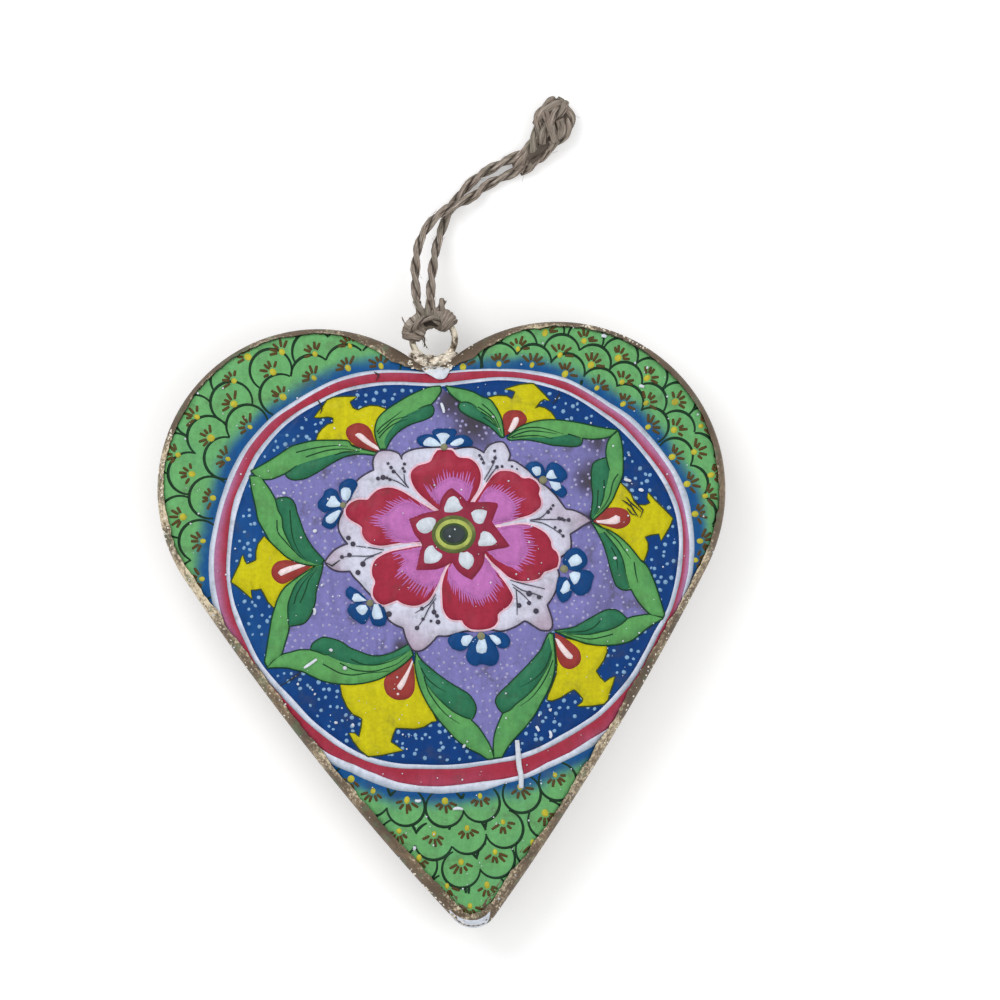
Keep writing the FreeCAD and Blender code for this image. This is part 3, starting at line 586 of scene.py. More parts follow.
# The eye's films: half their width and half their height in pixels.
EYE = (("eye_rim", 22, 19), ("eye_ring", 18.3, 15.2), ("eye_dark", 14.3, 11.2), ("pupil", 11.5, 9))
SMALL_BLUE_PETALS = (
    (417,438, 422,435, 431,434.5, 437,439, 441,446, 430,447, 421,446, 417,442),
    (432,432, 435,429, 445,428.5, 455,429, 457,432, 454,438, 449,444, 440,443, 434,437),
    (450,440, 456,436, 463,435, 469,437, 473,442, 472,446, 460,447, 450,446),
    (525,466, 531,462, 538,462, 543,466, 546,474, 540,479, 534,476, 529,471),
    (547,466, 552,462, 560,465, 567,473, 567,478, 560,483, 552,482, 545,477),
    (553,484, 560,484, 566,489, 567,494, 563,498, 558,496, 551,490),
    (566,552, 573,548, 580,549, 586,555, 587,563, 582,569, 574,571, 567,568, 562,562),
    (572,573, 582,570, 590,571, 594,576, 592,583, 590,590, 584,595, 577,595, 572,590, 568,582),
    (558,577, 566,577, 571,583, 572,593, 568,600, 562,603, 558,598, 556,590),
    (449,637, 456,633, 466,633, 473,636, 472,642, 466,649, 460,651, 452,648, 448,642),
    (474,638, 482,632, 490,637, 497,648, 499,657, 496,664, 490,666, 482,664, 476,666, 469,663,
     466,656, 469,647),
    (488,634, 498,632, 506,634, 510,640, 509,646, 504,648.5, 498,647, 492,641),
    (346,590, 350,586, 357,590, 364,596, 368,601, 360,603, 352,601, 346,596),
    (350,604, 358,603, 367,605, 371,611, 369,617, 365,624, 361,624, 355,620, 350,616, 347,610),
    (373,605, 380,604, 385,610, 387,619, 385,625, 379,626.5, 373,625, 370,618, 371,610),
    (340,484, 345,480, 351,478.5, 356,481, 358,485, 354,492, 350,500, 345,500, 340,494, 339,488),
    (318,508, 318,502, 323,496, 325,491, 331,488, 337,491, 341,500, 344,505, 340,508, 332,510,
     324,513),
    (322,522, 326,514, 334,509, 342,508, 340,516, 337,524, 333,528.5, 327,528.5, 322,525),
)
SMALL_WHITE_PETALS = (
    (423,443, 426,439, 430,437, 436,440, 442,446, 432,446.5, 424,445.5),
    (436,435, 441,433, 447,433.5, 450,436, 446,441, 445,446, 441,446, 440,441),
    (450,444, 455,440, 461,438, 464,440, 463,443, 457,446, 451,445.5),
    (532,471, 532,468, 536,466.5, 540,467, 541,471, 540,475, 536,476),
    (547,474, 550,470, 553,470, 555,475, 557,478, 551,479, 546,477.5),
    (549,481, 555,482, 560,483, 561,488, 556,491, 552,488),
    (568,561, 572,556, 577,554, 581,558, 582,562, 578,565, 571,566.5),
    (569,574, 574,571.5, 580,573, 580,577, 577,583, 574,584.5, 571,580),
    (562,587, 564,582, 567,580, 570,585, 569,591, 563,594, 560,591),
    (461,641, 463,636, 470,635, 473,637, 471,641, 467,646, 463,645.5),
    (479,639, 485,639, 487,647, 486,652, 482,653.5, 477,652, 476,647),
    (489,635, 494,635, 500,639, 501,643, 497,645, 492,640),
    (352,599, 354,594, 358,593.5, 362,597, 367,600.5, 360,601.5, 354,601.5),
    (356,608, 360,605, 366,605, 368,609, 365,614, 362,615, 358,612),
    (374,604, 378,604, 381,610, 383,617, 380,619, 374,619, 372,614, 373,608),
    (341,490, 344,487.5, 349,488, 351,491, 350,497, 347,501, 343,500, 341,495),
    (326,505, 329,500, 331,496, 335,496, 338,501, 343,505, 337,507, 329,507),
    (326,521, 326,517.5, 332,513, 339,510, 341,511, 338,517, 334,522, 331,523.5, 328,523),
)
# Dots, as their middle and radius in pixels.
SMALL_HEARTS = ((444,447,3.5), (543,480,4), (564,569,4), (481,636,4), (370,603,3.5), (343,505,3))
STAMEN_LINES = (
    (393,470, 402,480, 408,488), (404,474, 405,482, 409,488), (390,479, 398,482, 406,487),
    (484,480, 490,470, 494,462, 496,455), (486,482, 492,473, 498,466), (481,456, 484,462),
    (530,520, 540,518, 546,513, 551,507), (530,520, 545,519.5, 558,519.5, 568,520),
    (530,521, 542,523, 552,528, 562,535), (510,580, 520,583, 533,586, 545,589),
    (512,584, 522,590, 535,594, 543,597), (513,587, 522,594, 530,602), (516,590, 517,602, 517,615),
    (436,594, 430,603, 422,609, 415,613), (436,598, 429,608, 424,618, 417,628),
    (434,602, 434,610, 436,616), (384,550, 372,548, 356,546), (382,552, 370,556, 352,556, 343,557),
    (374,556, 366,559, 362,564),
)
STAMEN_DOTS = (
    (388,463.5,1.5), (391,467.5,1.8), (393.5,471.5,2), (404.5,464,1.6), (403,468.5,1.5),
    (404.5,471.5,1.5), (378,478.5,2), (383,477.5,2.6), (387,478,1.5), (390,479.5,1.7),
    (494.5,451,1.6), (495,458,1.8), (493,462,1.8), (479.5,455.5,1.5), (481.5,459,1.5),
    (483.5,463,1.6), (497,467,1.8), (502,466.5,1.5), (512,466.5,1.3), (517,469,1),
    (553,505.5,1.5), (551,509,1.3), (548,512,2), (559,518.5,2), (562,519,1.8), (564,520,1.5),
    (568.5,520,2), (555,527.5,1.5), (560,531,1.8), (563,536,1.7), (529,593.5,3), (539,597,2.3),
    (529,603,2.2), (519,605.5,2.5), (536,611,2.8), (422,608.5,2), (423,619,1.8), (417,628,2.3),
    (434,612,2.5), (437,616,2), (438,622,2.5), (431,621,1.5), (389,614,3), (348.5,538,2.4),
    (353,544,2.6), (349.5,555,2.3), (342,557,2), (363,564,2.8), (358,572.5,2.6),
)
# Scales: their radius, how far their middle lies outward of their dot, and the dots of each row
# from the inner one outward, all in pixels.
SCALE_ZONES = (
    (21, 3, (
        (314,378, 283,397, 250,427, 228,459, 213,498, 203,541, 202,579, 348,368, 381,366),
        (273,372, 234,404, 211,438, 192,474, 183,517, 315,354, 350,346),
        (282,352, 248,357, 234,381, 197,417, 178,455))),
    (18, 3, (
        (499,364, 532,365, 565,374, 597,388, 623,404, 648,427, 672,457, 687,484, 695,514, 700,541,
         695,560),
        (518,349, 560,355, 591,365, 622,382, 646,403, 674,430, 694,452, 711,475, 705,496),
        (545,333, 584,341, 618,358, 647,378, 675,402, 701,426, 463,367))),
    (19, 7, (
        (351,779, 373,791, 407,800, 445,801, 480,796, 520,787, 555,775),
        (399,831, 434,834, 467,828, 503,822, 545,813),
        (419,858, 461,862, 495,852, 533,843),
        (447,886, 487,885, 470,906))),
)
CHIP_DOTS = (
    (613,446,1.2), (641,490,3.2), (627,550,1.5), (322,585,1.8), (284,493,2.2), (315,531,2.6),
    (331,650,2.2), (345,668,2.5), (315,694,1.6), (298,684,1.6), (336,722.5,2.2), (353,725,2.2),
    (464,746,2.5), (550,710,2), (539,715,1.6), (647,368,1.5), (635,363,1.5), (615,558,2.2),
)
CHIP_STROKES = (
    (624,479, 627,480, 631,481),
    (441,403, 443,408, 444,413), (314,608, 315,611, 314,615), (304,668, 310,664, 317,659),
    (536,726, 538,729, 539,731), (550,731, 551,735, 550,738), (453,809, 458,808, 463,809),
    (415,800, 418,801, 421,800), (414,846, 415,848, 414,850), (639,386, 641,386, 644,387),
    (601,337, 603,337, 606,338),
)
PRIMER_PATCH = (421,370, 425,374, 431,377, 438,380, 445,379, 449,374, 451,370, 440,369, 430,369)
TIP_PRIMER = (451,908, 457,914, 466,918, 476,918.5, 484,915, 489,910, 487,919, 480,926, 470,929,
              460,925, 453,917)
WHITE_DRIP = (517,740, 518,752, 519,765, 521,776, 521,788)
# Bright flecks on the rim, scrape marks and painted glints: the zone's corners in pixels, how many,
# how far inward and how large.
FLECK_ZONES = (
    (412,356, 455,375, 34, 8, 1.3), (440,340, 480,366, 8, 5, 0.7),
    (585,325, 660,352, 36, 3.6, 0.9), (140,400, 172,600, 46, 6.5, 1),
    (180,560, 300,760, 26, 5.5, 0.9), (540,600, 690,780, 40, 5, 0.8),
    (400,845, 455,915, 22, 3.4, 1.2), (455,900, 500,940, 8, 5, 0.7),
)
# A dark tube of painted shadow in the gap under the strap, in pixels with a height in millimetres.
HITCH_SHADOW_TUBE = ((425,324,13.2), (431,321,14), (438,324,13.4))
HITCH_STRAYS = (((422,331,11), (426,340,10), (424,347,9)),
                ((420,332,11), (423,341,10), (427,348,9)),
                ((409,327,12), (403,322,11.5), (402,317,11)))
GRIME_STROKES = (
    (374,372, 379,375, 376,381), (302,671, 296,676, 290,680, 280,686), (318,400, 322,408, 320,414),
    (560,393, 556,400, 552,404), (340,560, 332,566, 325,562),
    (626,497, 631,503, 636,507, 641,512), (630,504, 634,511, 638,517),
    (634,499, 638,505, 643,510, 640,518), (627,508, 632,514, 636,515), (622,500, 628,504, 633,509),
)
# Dark places of the star: their middle and reach in pixels.
STAR_GRIME = ((476,425,34), (450,402,20), (588,478,26), (598,440,16), (330,657,16), (402,648,14),
              (556,640,14), (590,520,12))
# Beads: their place in pixels, and their height above the floor and radius in millimetres.
SOLDER_BEADS = (
    (415,355,11.6,1), (420,360,12,1.2), (427,363,12.3,1.35), (434,365,12.4,1.4),
    (441,364,12.4,1.3), (447,361,12.2,1.3), (452,356,11.8,1), (437,360,12.6,1.1),
    (430,358,12.4,0.9), (444,357,12.3,0.9), (423,367,12.6,0.9), (450,366,12.8,0.8),
)
# The painted rim: a bearing from the heart's middle in degrees, and the width there in pixels.
RIM_WIDTHS = (
    (8, 7.5), (32, 6), (48, 5), (70, 5), (78, 8), (86, 12), (92, 5), (97, 5), (104, 13), (117, 5),
    (147, 5), (168, 7.5), (180, 8), (205, 9.5), (242, 9), (262, 11), (274, 14), (287, 9),
    (318, 9), (342, 8), (368, 7.5),
)
# Wraps on the ring: first and last bearing in degrees, distance from the wire's middle and its
# swell in millimetres, and turns.
HITCH_WRAPS = ((40, 86, 1.35, 0.6, 6), (86, 132, 1.65, 0.1, 5), (132, 178, 1.4, 0.6, 6.5))
HITCH_STRAP = ((411,332,13.2), (414,326,14.2), (420,320.5,14.8), (428,317.5,15), (436,318.5,14.7),
               (439,323,13.6))
# Routes from the ring's centre, in millimetres. Those of the hitch and the knot are in pixels,
# with a height in millimetres.
LEFT_ROOT = ((-3.84,8.7,11), (-3.5,7.4,11.6), (-2.8,6,12.3), (-2.5,4.7,12.4), (-2.4,3.6,12))
RIGHT_ROOT = ((-0.74,9,11), (-0.75,7.5,11.7), (-0.8,6.1,12.4), (-0.85,4.8,12.5),
              (-0.9,3.6,12))
CUT_END = ((0.9,5,12.2), (1.4,6.5,12.3), (1.9,7.8,11.9), (2.2,9,11.4))
# The knot's runs: width in millimetres, plies and route. Runs with no plies are dark tubes of
# painted shade inside the knot.
KNOT_RUNS = (
    (5, 0, ((550,111,3.2), (553,120,3.2), (551,131,3.2))),
    (4.6, 0, ((557,109,3.1), (560,118,3.1), (558,130,3.1))),
    (4, 0, ((565,113,2.7), (566,121,2.7), (563,128,2.7))),
    (3.4, 0, ((529,160,2.2), (541,149,2.3), (552,138,2.5))),
    (2.7, 2, ((524,163,1.7), (533,148,2.9), (538,132,4), (539,118,4.3), (545,107,4.2),
              (555,101,3.2))),
    (2.7, 2, ((530,163,1.6), (545,149,2.7), (560,139,3.5), (569,128,3.6), (570,117,3.6),
              (565,107,3.4), (556,101.5,2.9))),
    (2.4, 2, ((541,142,4.4), (546,130,5.5), (553,118,5.9), (561,109,5.2), (566,105,3.6))),
    (2.2, 1, ((545,112,5.3), (549,121,5.9), (552,131,5.5), (555,141,4.2))),
    (2.3, 1, ((537,125,3.8), (542,113,5), (551,104.5,4.8), (560,103,3.5))),
    (2.1, 1, ((559,119,5.6), (563,127,5), (560,136,4.3), (551,143,3.5))),
    (2.5, 2, ((514,166,1.5), (526,158,1.9), (538,148,2.8))),
    (2.5, 2, ((520,172,1.5), (534,162,1.9), (549,149,2.7))),
)
LEFT_STRAND = (
    (-3.82,8.30,11), (-4.37,14.03,9.6), (-3.98,20.24,7), (-2.09,25.19,5.4), (1.47,29.10,4.4),
    (5.84,31.17,3.7), (9.29,32.78,2.4), (12.05,35.42,1.3), (16.19,37.26,1.1), (20.10,39.10,1.2),
    (23.75,41.90,1.4), (26.40,45.20,2),
)
RIGHT_STRAND = (
    (-0.76,8.67,11), (-0.53,14.49,8.4), (0.44,20.70,4.6), (2.51,27.14,2), (5.38,32.66,1.15),
    (10.33,37.72,1.1), (16.42,40.83,1.15), (21.90,43.40,2.5), (24.30,47.30,3.9),
)


def srgb(text):
    """A colour written as six hex digits, as Blender's own linear red, green and blue."""
    shares = [int(text[at:at + 2], 16) / 255 for at in (0, 2, 4)]
    return [c / 12.92 if c <= 0.04045 else ((c + 0.055) / 1.055) ** 2.4 for c in shares]


def colour_property(name, text, use):
    return bpy.props.FloatVectorProperty(
        name=name.replace("_", " ").capitalize(), description=use, default=srgb(text),
        subtype="COLOR", size=3, min=0, max=1)


def length_property(label, millimetres, use):
    return bpy.props.FloatProperty(
        name=label, description=use, default=millimetres * MM, unit="LENGTH", min=0)


class TINHEART_PG_sizes(bpy.types.PropertyGroup):
    """Sizes of the paint and the twine."""
    film_step: length_property("Film step", 0.015, "How far each film of paint lies above the last")
    film_thickness: length_property("Film thickness", 0.05, "Thickness of one film of paint")
    edge_step: length_property("Edge step", 0.45, "Longest edge along a painted outline")
    dome_step: length_property("Dome step", 2.5, "Spacing of points inside a film on the dome")
    twine: length_property("Twine", 2.1, "Diameter of the two-ply twine")
    twist: length_property("Twist", 11.5, "Length of one full turn of the twine's plies")
    hitch_twine: length_property("Hitch twine", 1.5, "Diameter of the pressed twine in the hitch")


class TINHEART_PG_colours(bpy.types.PropertyGroup):
    """Colours of the paint, the metal and the twine."""
    __annotations__ = {name: colour_property(name, text, use) for name, text, use in COLOURS}


def sizes():
    return bpy.context.scene.tin_heart_sizes


def tint(name):
    """A colour of the panel or of TONES by its name, or one written as six hex digits."""
    panel = bpy.context.scene.tin_heart_colours
    return getattr(panel, name) if hasattr(panel, name) else srgb(TONES.get(name, name))


def pairs(numbers):
    """Photograph points from a flat run of numbers."""
    return [(numbers[at], numbers[at + 1]) for at in range(0, len(numbers), 2)]


def placed(points):
    """Photograph points as places on the plan, in metres."""
    flat = np.asarray(points, float).reshape(-1, 2)
    return (flat - PIXEL_ORIGIN) * (PIXEL, -PIXEL)


def in_pixels(plan):
    """Plan points in metres as places in the photograph."""
    return plan / (PIXEL, -PIXEL) + PIXEL_ORIGIN


def way(angle):
    return np.array((math.cos(angle), math.sin(angle)))


def between(values, start, end, most=1.0):
    """How far values are from start to end, from 0 to the most that is given."""
    return np.clip((values - start) / (end - start), 0, most)


def circles_meet(first, first_radius, second, second_radius, side):
    """Where two circles cross, on the left (1) or right (-1) of the line between them."""
    apart = second - first
    along = (first_radius**2 - second_radius**2 + apart.length**2) / (2 * apart.length)
    across = math.sqrt(first_radius**2 - along**2)
    ahead = apart.normalized()
    return first + ahead * along + Vector((-ahead.y, ahead.x)) * (side * across)


def heart_outline(spacing=0.3):
    """Points round the heart's outline and their inward directions, in millimetres."""
    half = Vector((LOBE_SPACING / 2, 0))
    centre = {"left_lobe": LOBE_MIDPOINT - half, "right_lobe": LOBE_MIDPOINT + half,
              "tip": LOBE_MIDPOINT + TIP_CENTRE}
    centre["cleft"] = circles_meet(
        centre["left_lobe"], RADII["left_lobe"] + RADII["cleft"],
        centre["right_lobe"], RADII["right_lobe"] + RADII["cleft"], 1)
    for side, turn in (("left", 1), ("right", -1)):
        flank = f"{side}_flank"
        lobe = f"{side}_lobe"
        centre[flank] = circles_meet(
            centre[lobe], RADII[flank] - RADII[lobe],
            centre["tip"], RADII[flank] - RADII["tip"], turn)

    def touch(name, other):
        ahead = (centre[other] - centre[name]).normalized()
        if other != "cleft":
            ahead = -ahead
        return centre[name] + ahead * RADII[name]

    def angle_of(name, point):
        return math.atan2(point.y - centre[name].y, point.x - centre[name].x)

    joins = [touch(*pair) for pair in (
        ("tip", "right_flank"), ("right_lobe", "right_flank"), ("right_lobe", "cleft"),
        ("left_lobe", "cleft"), ("left_lobe", "left_flank"), ("tip", "left_flank"))]
    names = ("right_flank", "right_lobe", "cleft", "left_lobe", "left_flank", "tip")
    points = []
    inward = []
    for name, start, end in zip(names, joins, joins[1:] + joins[:1]):
        turn = -1 if name == "cleft" else 1
        first = angle_of(name, start)
        swept = (angle_of(name, end) - first) * turn % math.tau
        steps = max(2, math.ceil(swept * RADII[name] / spacing))
        for step in range(steps):
            angle = first + turn * swept * step / steps
            out = Vector(way(angle))
            points.append(centre[name] + out * RADII[name])
            inward.append(-out * turn)
    return np.array(points), np.array(inward)


OUTLINE, INWARD = heart_outline()


def nearest_outline(plan):
    """For plan points in millimetres, the nearest place on the outline and the depth inside it."""
    nearest = np.empty(len(plan), int)
    chunk = 1500
    for at in range(0, len(plan), chunk):
        part = plan[at:at + chunk]
        apart = ((part[:, None, :] - OUTLINE[None, :, :]) ** 2).sum(2)
        nearest[at:at + chunk] = apart.argmin(1)
    depth = ((plan - OUTLINE[nearest]) * INWARD[nearest]).sum(1)
    return nearest, depth


def on_heart(plan, lift):
    """Places on the front shell under plan points, raised along its normal, all in metres."""
    plan = np.asarray(plan, float) / MM
    nearest, depth = nearest_outline(plan)
    outside = depth < OUTER_EDGE
    plan[outside] = OUTLINE[nearest[outside]] + INWARD[nearest[outside]] * OUTER_EDGE
    depth = np.where(outside, OUTER_EDGE, depth)
    crown = np.array((CROWN_TOP.x, CROWN_TOP.y, CROWN_TOP.z - CROWN_RADIUS))
    from_axis = plan - crown[:2]
    top = crown[2] + np.sqrt(CROWN_RADIUS**2 - (from_axis**2).sum(1))
    normal = np.column_stack((from_axis, top - crown[2])) / CROWN_RADIUS
    ball = plan + INWARD[nearest] * (RIM_RADIUS - depth)[:, None]
    inner = CROWN_RADIUS - RIM_RADIUS
    from_ball_axis = ball - crown[:2]
    ball_height = crown[2] + np.sqrt(inner**2 - (from_ball_axis**2).sum(1))
    slope = -(from_ball_axis * INWARD[nearest]).sum(1) / inner
    reach = RIM_RADIUS - depth
    on_rim = reach / RIM_RADIUS > slope
    rim_height = ball_height + np.sqrt(np.maximum(RIM_RADIUS**2 - reach**2, 0))
    rim_normal = np.column_stack((plan - ball, rim_height - ball_height)) / RIM_RADIUS
    place = np.column_stack((plan, np.where(on_rim, rim_height, top)))
    normal = np.where(on_rim[:, None], rim_normal, normal)
    return place * MM + normal * lift


def mesh_object(name, points, faces, shades, material):
    """A new smooth mesh object, chosen and active, with a shade value on each point."""
    mesh = bpy.data.meshes.new(name)
    mesh.from_pydata([tuple(map(float, point)) for point in points], [], faces)
    mesh.attributes.new("shade", "FLOAT", "POINT").data.foreach_set(
        "value", np.asarray(shades, np.float32))
    mesh.materials.append(material)
    piece = bpy.data.objects.new(name, mesh)
    bpy.context.scene.collection.objects.link(piece)
    bpy.ops.object.select_all(action="DESELECT")
    piece.select_set(True)
    bpy.context.view_layer.objects.active = piece
    bpy.ops.object.shade_smooth()
    return piece


CORNER = math.radians(50)


def rounded(points, closed=True, step=2.2):
    """A smooth line through photograph points, which keeps their sharp corners."""
    line = [Vector(point) for point in points]
    count = len(line)
    tangents = []
    for at, here in enumerate(line):
        before = line[at - 1] if closed or at else here
        after = line[(at + 1) % count] if closed or at < count - 1 else here
        tangent = (after - before) / 2
        if (here - before).length > 0 and (after - here).length > 0:
            if (here - before).angle(after - here, 0) > CORNER:
                tangent = Vector((0, 0))
        tangents.append(tangent)
    smooth = []
    for at in range(count if closed else count - 1):
        start, end = line[at], line[(at + 1) % count]
        reach = (end - start).length
        lead, trail = [side.normalized() * min(side.length, reach)
                       for side in (tangents[at], tangents[(at + 1) % count])]
        steps = max(1, math.ceil(reach / step))
        for part in range(steps):
            t = part / steps
            smooth.append(
                start * (2 * t**3 - 3 * t**2 + 1) + lead * (t**3 - 2 * t**2 + t)
                + end * (3 * t**2 - 2 * t**3) + trail * (t**3 - t**2))
    if not closed:
        smooth.append(line[-1])
    return [tuple(point) for point in smooth]


def grown(outline, by):
    """A closed outline in photograph points, moved outward all round."""
    points = np.asarray(outline, float)
    ahead = np.roll(points, -1, 0)
    after = ahead - np.roll(points, 1, 0)
    area = (points[:, 0] * ahead[:, 1] - points[:, 1] * ahead[:, 0]).sum()
    out = np.column_stack((after[:, 1], -after[:, 0])) * (1 if area > 0 else -1)
    least = 0.001
    length = np.maximum(np.linalg.norm(out, axis=1, keepdims=True), least)
    return [tuple(point) for point in points + out / length * by]


def stroke(points, width, start=1.0, end=0.3, round_it=True):
    """The outline of a brush stroke along photograph points. Its width swells from a share of
    the one given at its start, and falls to a share of it at its end."""
    line = np.asarray(rounded(points, False, 2.5) if round_it else points, float)
    ahead = np.gradient(line, axis=0)
    side = np.column_stack((-ahead[:, 1], ahead[:, 0]))
    least = 0.0001
    side /= np.maximum(np.linalg.norm(side, axis=1, keepdims=True), least)
    share = np.linspace(0, 1, len(line))
    swell = np.minimum(1, start + (1 - start) * share * 3) * np.minimum(
        1, end + (1 - end) * (1 - share) * 2)
    half = side * (swell * width / 2)[:, None]
    return [tuple(p) for p in np.vstack((line + half, (line - half)[::-1]))]


def blob(x, y, radius, sides=10, squash=1.0, turn=0.0):
    """A round dab of paint, squashed across its turn."""
    dab = []
    for step in range(sides):
        along, across = way(math.tau * step / sides) * (radius, radius * squash)
        dab.append((x + along * math.cos(turn) - across * math.sin(turn),
                    y + along * math.sin(turn) + across * math.cos(turn)))
    return dab


def inside(outline, points):
    """Which plan points lie inside a closed outline."""
    x, y = points[:, :1], points[:, 1:]
    start, end = np.asarray(outline), np.roll(outline, -1, 0)
    rise = end[:, 1] - start[:, 1]
    level = 1e-12
    rise[rise == 0] = level
    spans = (start[:, 1] > y) != (end[:, 1] > y)
    meets = (end[:, 0] - start[:, 0]) * (y - start[:, 1]) / rise + start[:, 0]
    return (spans & (x < meets)).sum(1) % 2 == 1


def ground_points():
    """Plan points all over the heart, close together on the rounded rim, in metres."""
    step = sizes().dome_step / MM
    low = OUTLINE.min(0)
    high = OUTLINE.max(0)
    across = np.arange(low[0], high[0], step)
    up = np.arange(low[1], high[1], step * ROW_SPACING)
    grid = np.array([(x + (step / 2 if row % 2 else 0), y)
                     for row, y in enumerate(up) for x in across])
    grid = grid[nearest_outline(grid)[1] > DOME_EDGE]
    rim = [OUTLINE[::4] + INWARD[::4] * row for row in RIM_ROWS]
    return np.vstack([grid] + rim) * MM


def film_lift(name):
    return sizes().film_step * (list(FILMS).index(name) + 1)


GROUND = []


def film(name, outlines, shade=None):
    """One colour of paint: thin films with those outlines, in photograph points, on the heart."""
    if not GROUND:
        GROUND.append(ground_points())
    longest = sizes().edge_step
    points, faces, lifts = [], [], []
    for order, outline in enumerate(outlines):
        edge = placed(outline)
        longer = []
        for start, end in zip(edge, np.roll(edge, -1, 0)):
            pieces = max(1, math.ceil(np.linalg.norm(end - start) / longest))
            longer.extend(start + (end - start) * part / pieces for part in range(pieces))
        edge = np.array(longer)
        near = GROUND[0]
        near = near[((near > edge.min(0)) & (near < edge.max(0))).all(1)]
        if len(near):
            near = near[inside(edge, near)]
        if len(near):
            apart = ((near[:, None, :] - edge[None, :, :]) ** 2).sum(2).min(1)
            near = near[apart > (longest * CLEAR_OF_EDGE) ** 2]
        corners = [Vector(point) for point in (*edge, *near)]
        sides = [(at, (at + 1) % len(edge)) for at in range(len(edge))]
        found, _, triangles, *_ = geometry.delaunay_2d_cdt(corners, sides, [], 1, MERGED_WITHIN)
        base = len(points)
        points.extend(found)
        faces.extend([base + corner for corner in triangle] for triangle in triangles)
        crossing = order % CROSSING_LEVELS * sizes().film_step * CROSSING_STEP
        lifts.extend([film_lift(name) + crossing] * len(found))
    plan = np.array(points)
    shades = shade(plan) if shade else np.zeros(len(plan))
    place = on_heart(plan, np.array(lifts)[:, None])
    return finish_film(mesh_object(name, place, faces, shades, painted(name)))


def finish_film(piece):
    """Gives a film its thickness, downward, and its place on the heart."""
    modifier = piece.modifiers.new("Thickness", "SOLIDIFY")
    modifier.thickness = sizes().film_thickness
    modifier.offset = -1
    bpy.ops.object.modifier_apply(modifier=modifier.name)
    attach(piece, "heart")
    return piece


def band(name, inner, outer, rows, weights=1.0):
    """A closed strip of paint between two lines of plan points, shaded from 0 inside to the
    weights outside."""
    count = len(inner)
    plan = np.vstack([inner + (outer - inner) * row / rows for row in range(rows + 1)])
    shades = (np.linspace(0, 1, rows + 1)[:, None] * (weights * np.ones(count))).ravel()
    faces = []
    for row in range(rows):
        for at in range(count):
            after = (at + 1) % count
            faces.append((row * count + at, (row + 1) * count + at,
                          (row + 1) * count + after, row * count + after))
    material = painted(name) if FILMS[name] else worn_bronze(name)
    piece = mesh_object(name, on_heart(plan, film_lift(name)), faces, shades, material)
    if sum(face.normal.z for face in piece.data.polygons) < 0:
        piece.data.flip_normals()
    return finish_film(piece)


def node(tree, kind, inputs=None, **settings):
    """A shader node with its settings, and its inputs set or linked by name or place."""
    made = tree.nodes.new(kind)
    for name, value in settings.items():
        setattr(made, name, value)
    for socket, value in (inputs or {}).items():
        if isinstance(value, bpy.types.NodeSocket):
            tree.links.new(value, made.inputs[socket])
        else:
            made.inputs[socket].default_value = value
    return made


def rgba(colour):
    return (*colour[:3], 1.0)


def mixed(tree, share, first, second, blend="MIX"):
    made = node(tree, "ShaderNodeMix", {0: share, MIX_A: first, MIX_B: second},
                data_type="RGBA", blend_type=blend)
    return made.outputs[MIX_RESULT]


def ramped(tree, value, name, high=None, shift=0.0):
    """A smooth ramp of a value, by its name in RAMPS. A shift moves where it is read."""
    start, end, low, given = (*RAMPS[name], 0.0, 1.0)[:4]
    return node(tree, "ShaderNodeMapRange", {
        "Value": value, "From Min": start + shift, "From Max": end + shift, "To Min": low,
        "To Max": given if high is None else high}, interpolation_type="SMOOTHSTEP").outputs[0]


def speckle(tree, place, name):
    """Noise at a place, by its name in NOISES."""
    scale, detail, rough, *stretch = NOISES[name]
    if stretch:
        place = node(tree, "ShaderNodeMapping", {
            "Vector": place, "Scale": stretch[0]}).outputs[0]
    return node(tree, "ShaderNodeTexNoise", {
        "Vector": place, "Scale": scale, "Detail": detail, "Roughness": rough}).outputs["Fac"]


def plus(tree, first, second):
    return calculated(tree, "ADD", first, second)


def times(tree, first, second):
    return calculated(tree, "MULTIPLY", first, second)


def grained(tree, name, first, second):
    """Two noises added up in the shares of that finish."""
    shares = GRAINS[name]
    return plus(tree, times(tree, first, shares[0]), times(tree, second, shares[1]))


def toned(tree, share, colour, name):
    """A colour with a share of a named one over it."""
    return mixed(tree, share, colour, rgba(tint(name)))


def object_place(tree):
    return node(tree, "ShaderNodeTexCoord").outputs["Object"]


def own_shade(tree):
    """The value that the piece's own points carry."""
    return node(tree, "ShaderNodeAttribute", attribute_name="shade").outputs["Fac"]


def calculated(tree, operation, first, second):
    return node(tree, "ShaderNodeMath", {0: first, 1: second}, operation=operation).outputs[0]


def new_group(name, inputs, outputs):
    """An empty node group with named sockets, and its input and output nodes."""
    group = bpy.data.node_groups.new(name, "ShaderNodeTree")
    for label, kind, value in inputs:
        socket = group.interface.new_socket(name=label, in_out="INPUT", socket_type=kind)
        socket.default_value = value
    for label, kind in outputs:
        group.interface.new_socket(name=label, in_out="OUTPUT", socket_type=kind)
    return group, group.nodes.new("NodeGroupInput"), group.nodes.new("NodeGroupOutput")


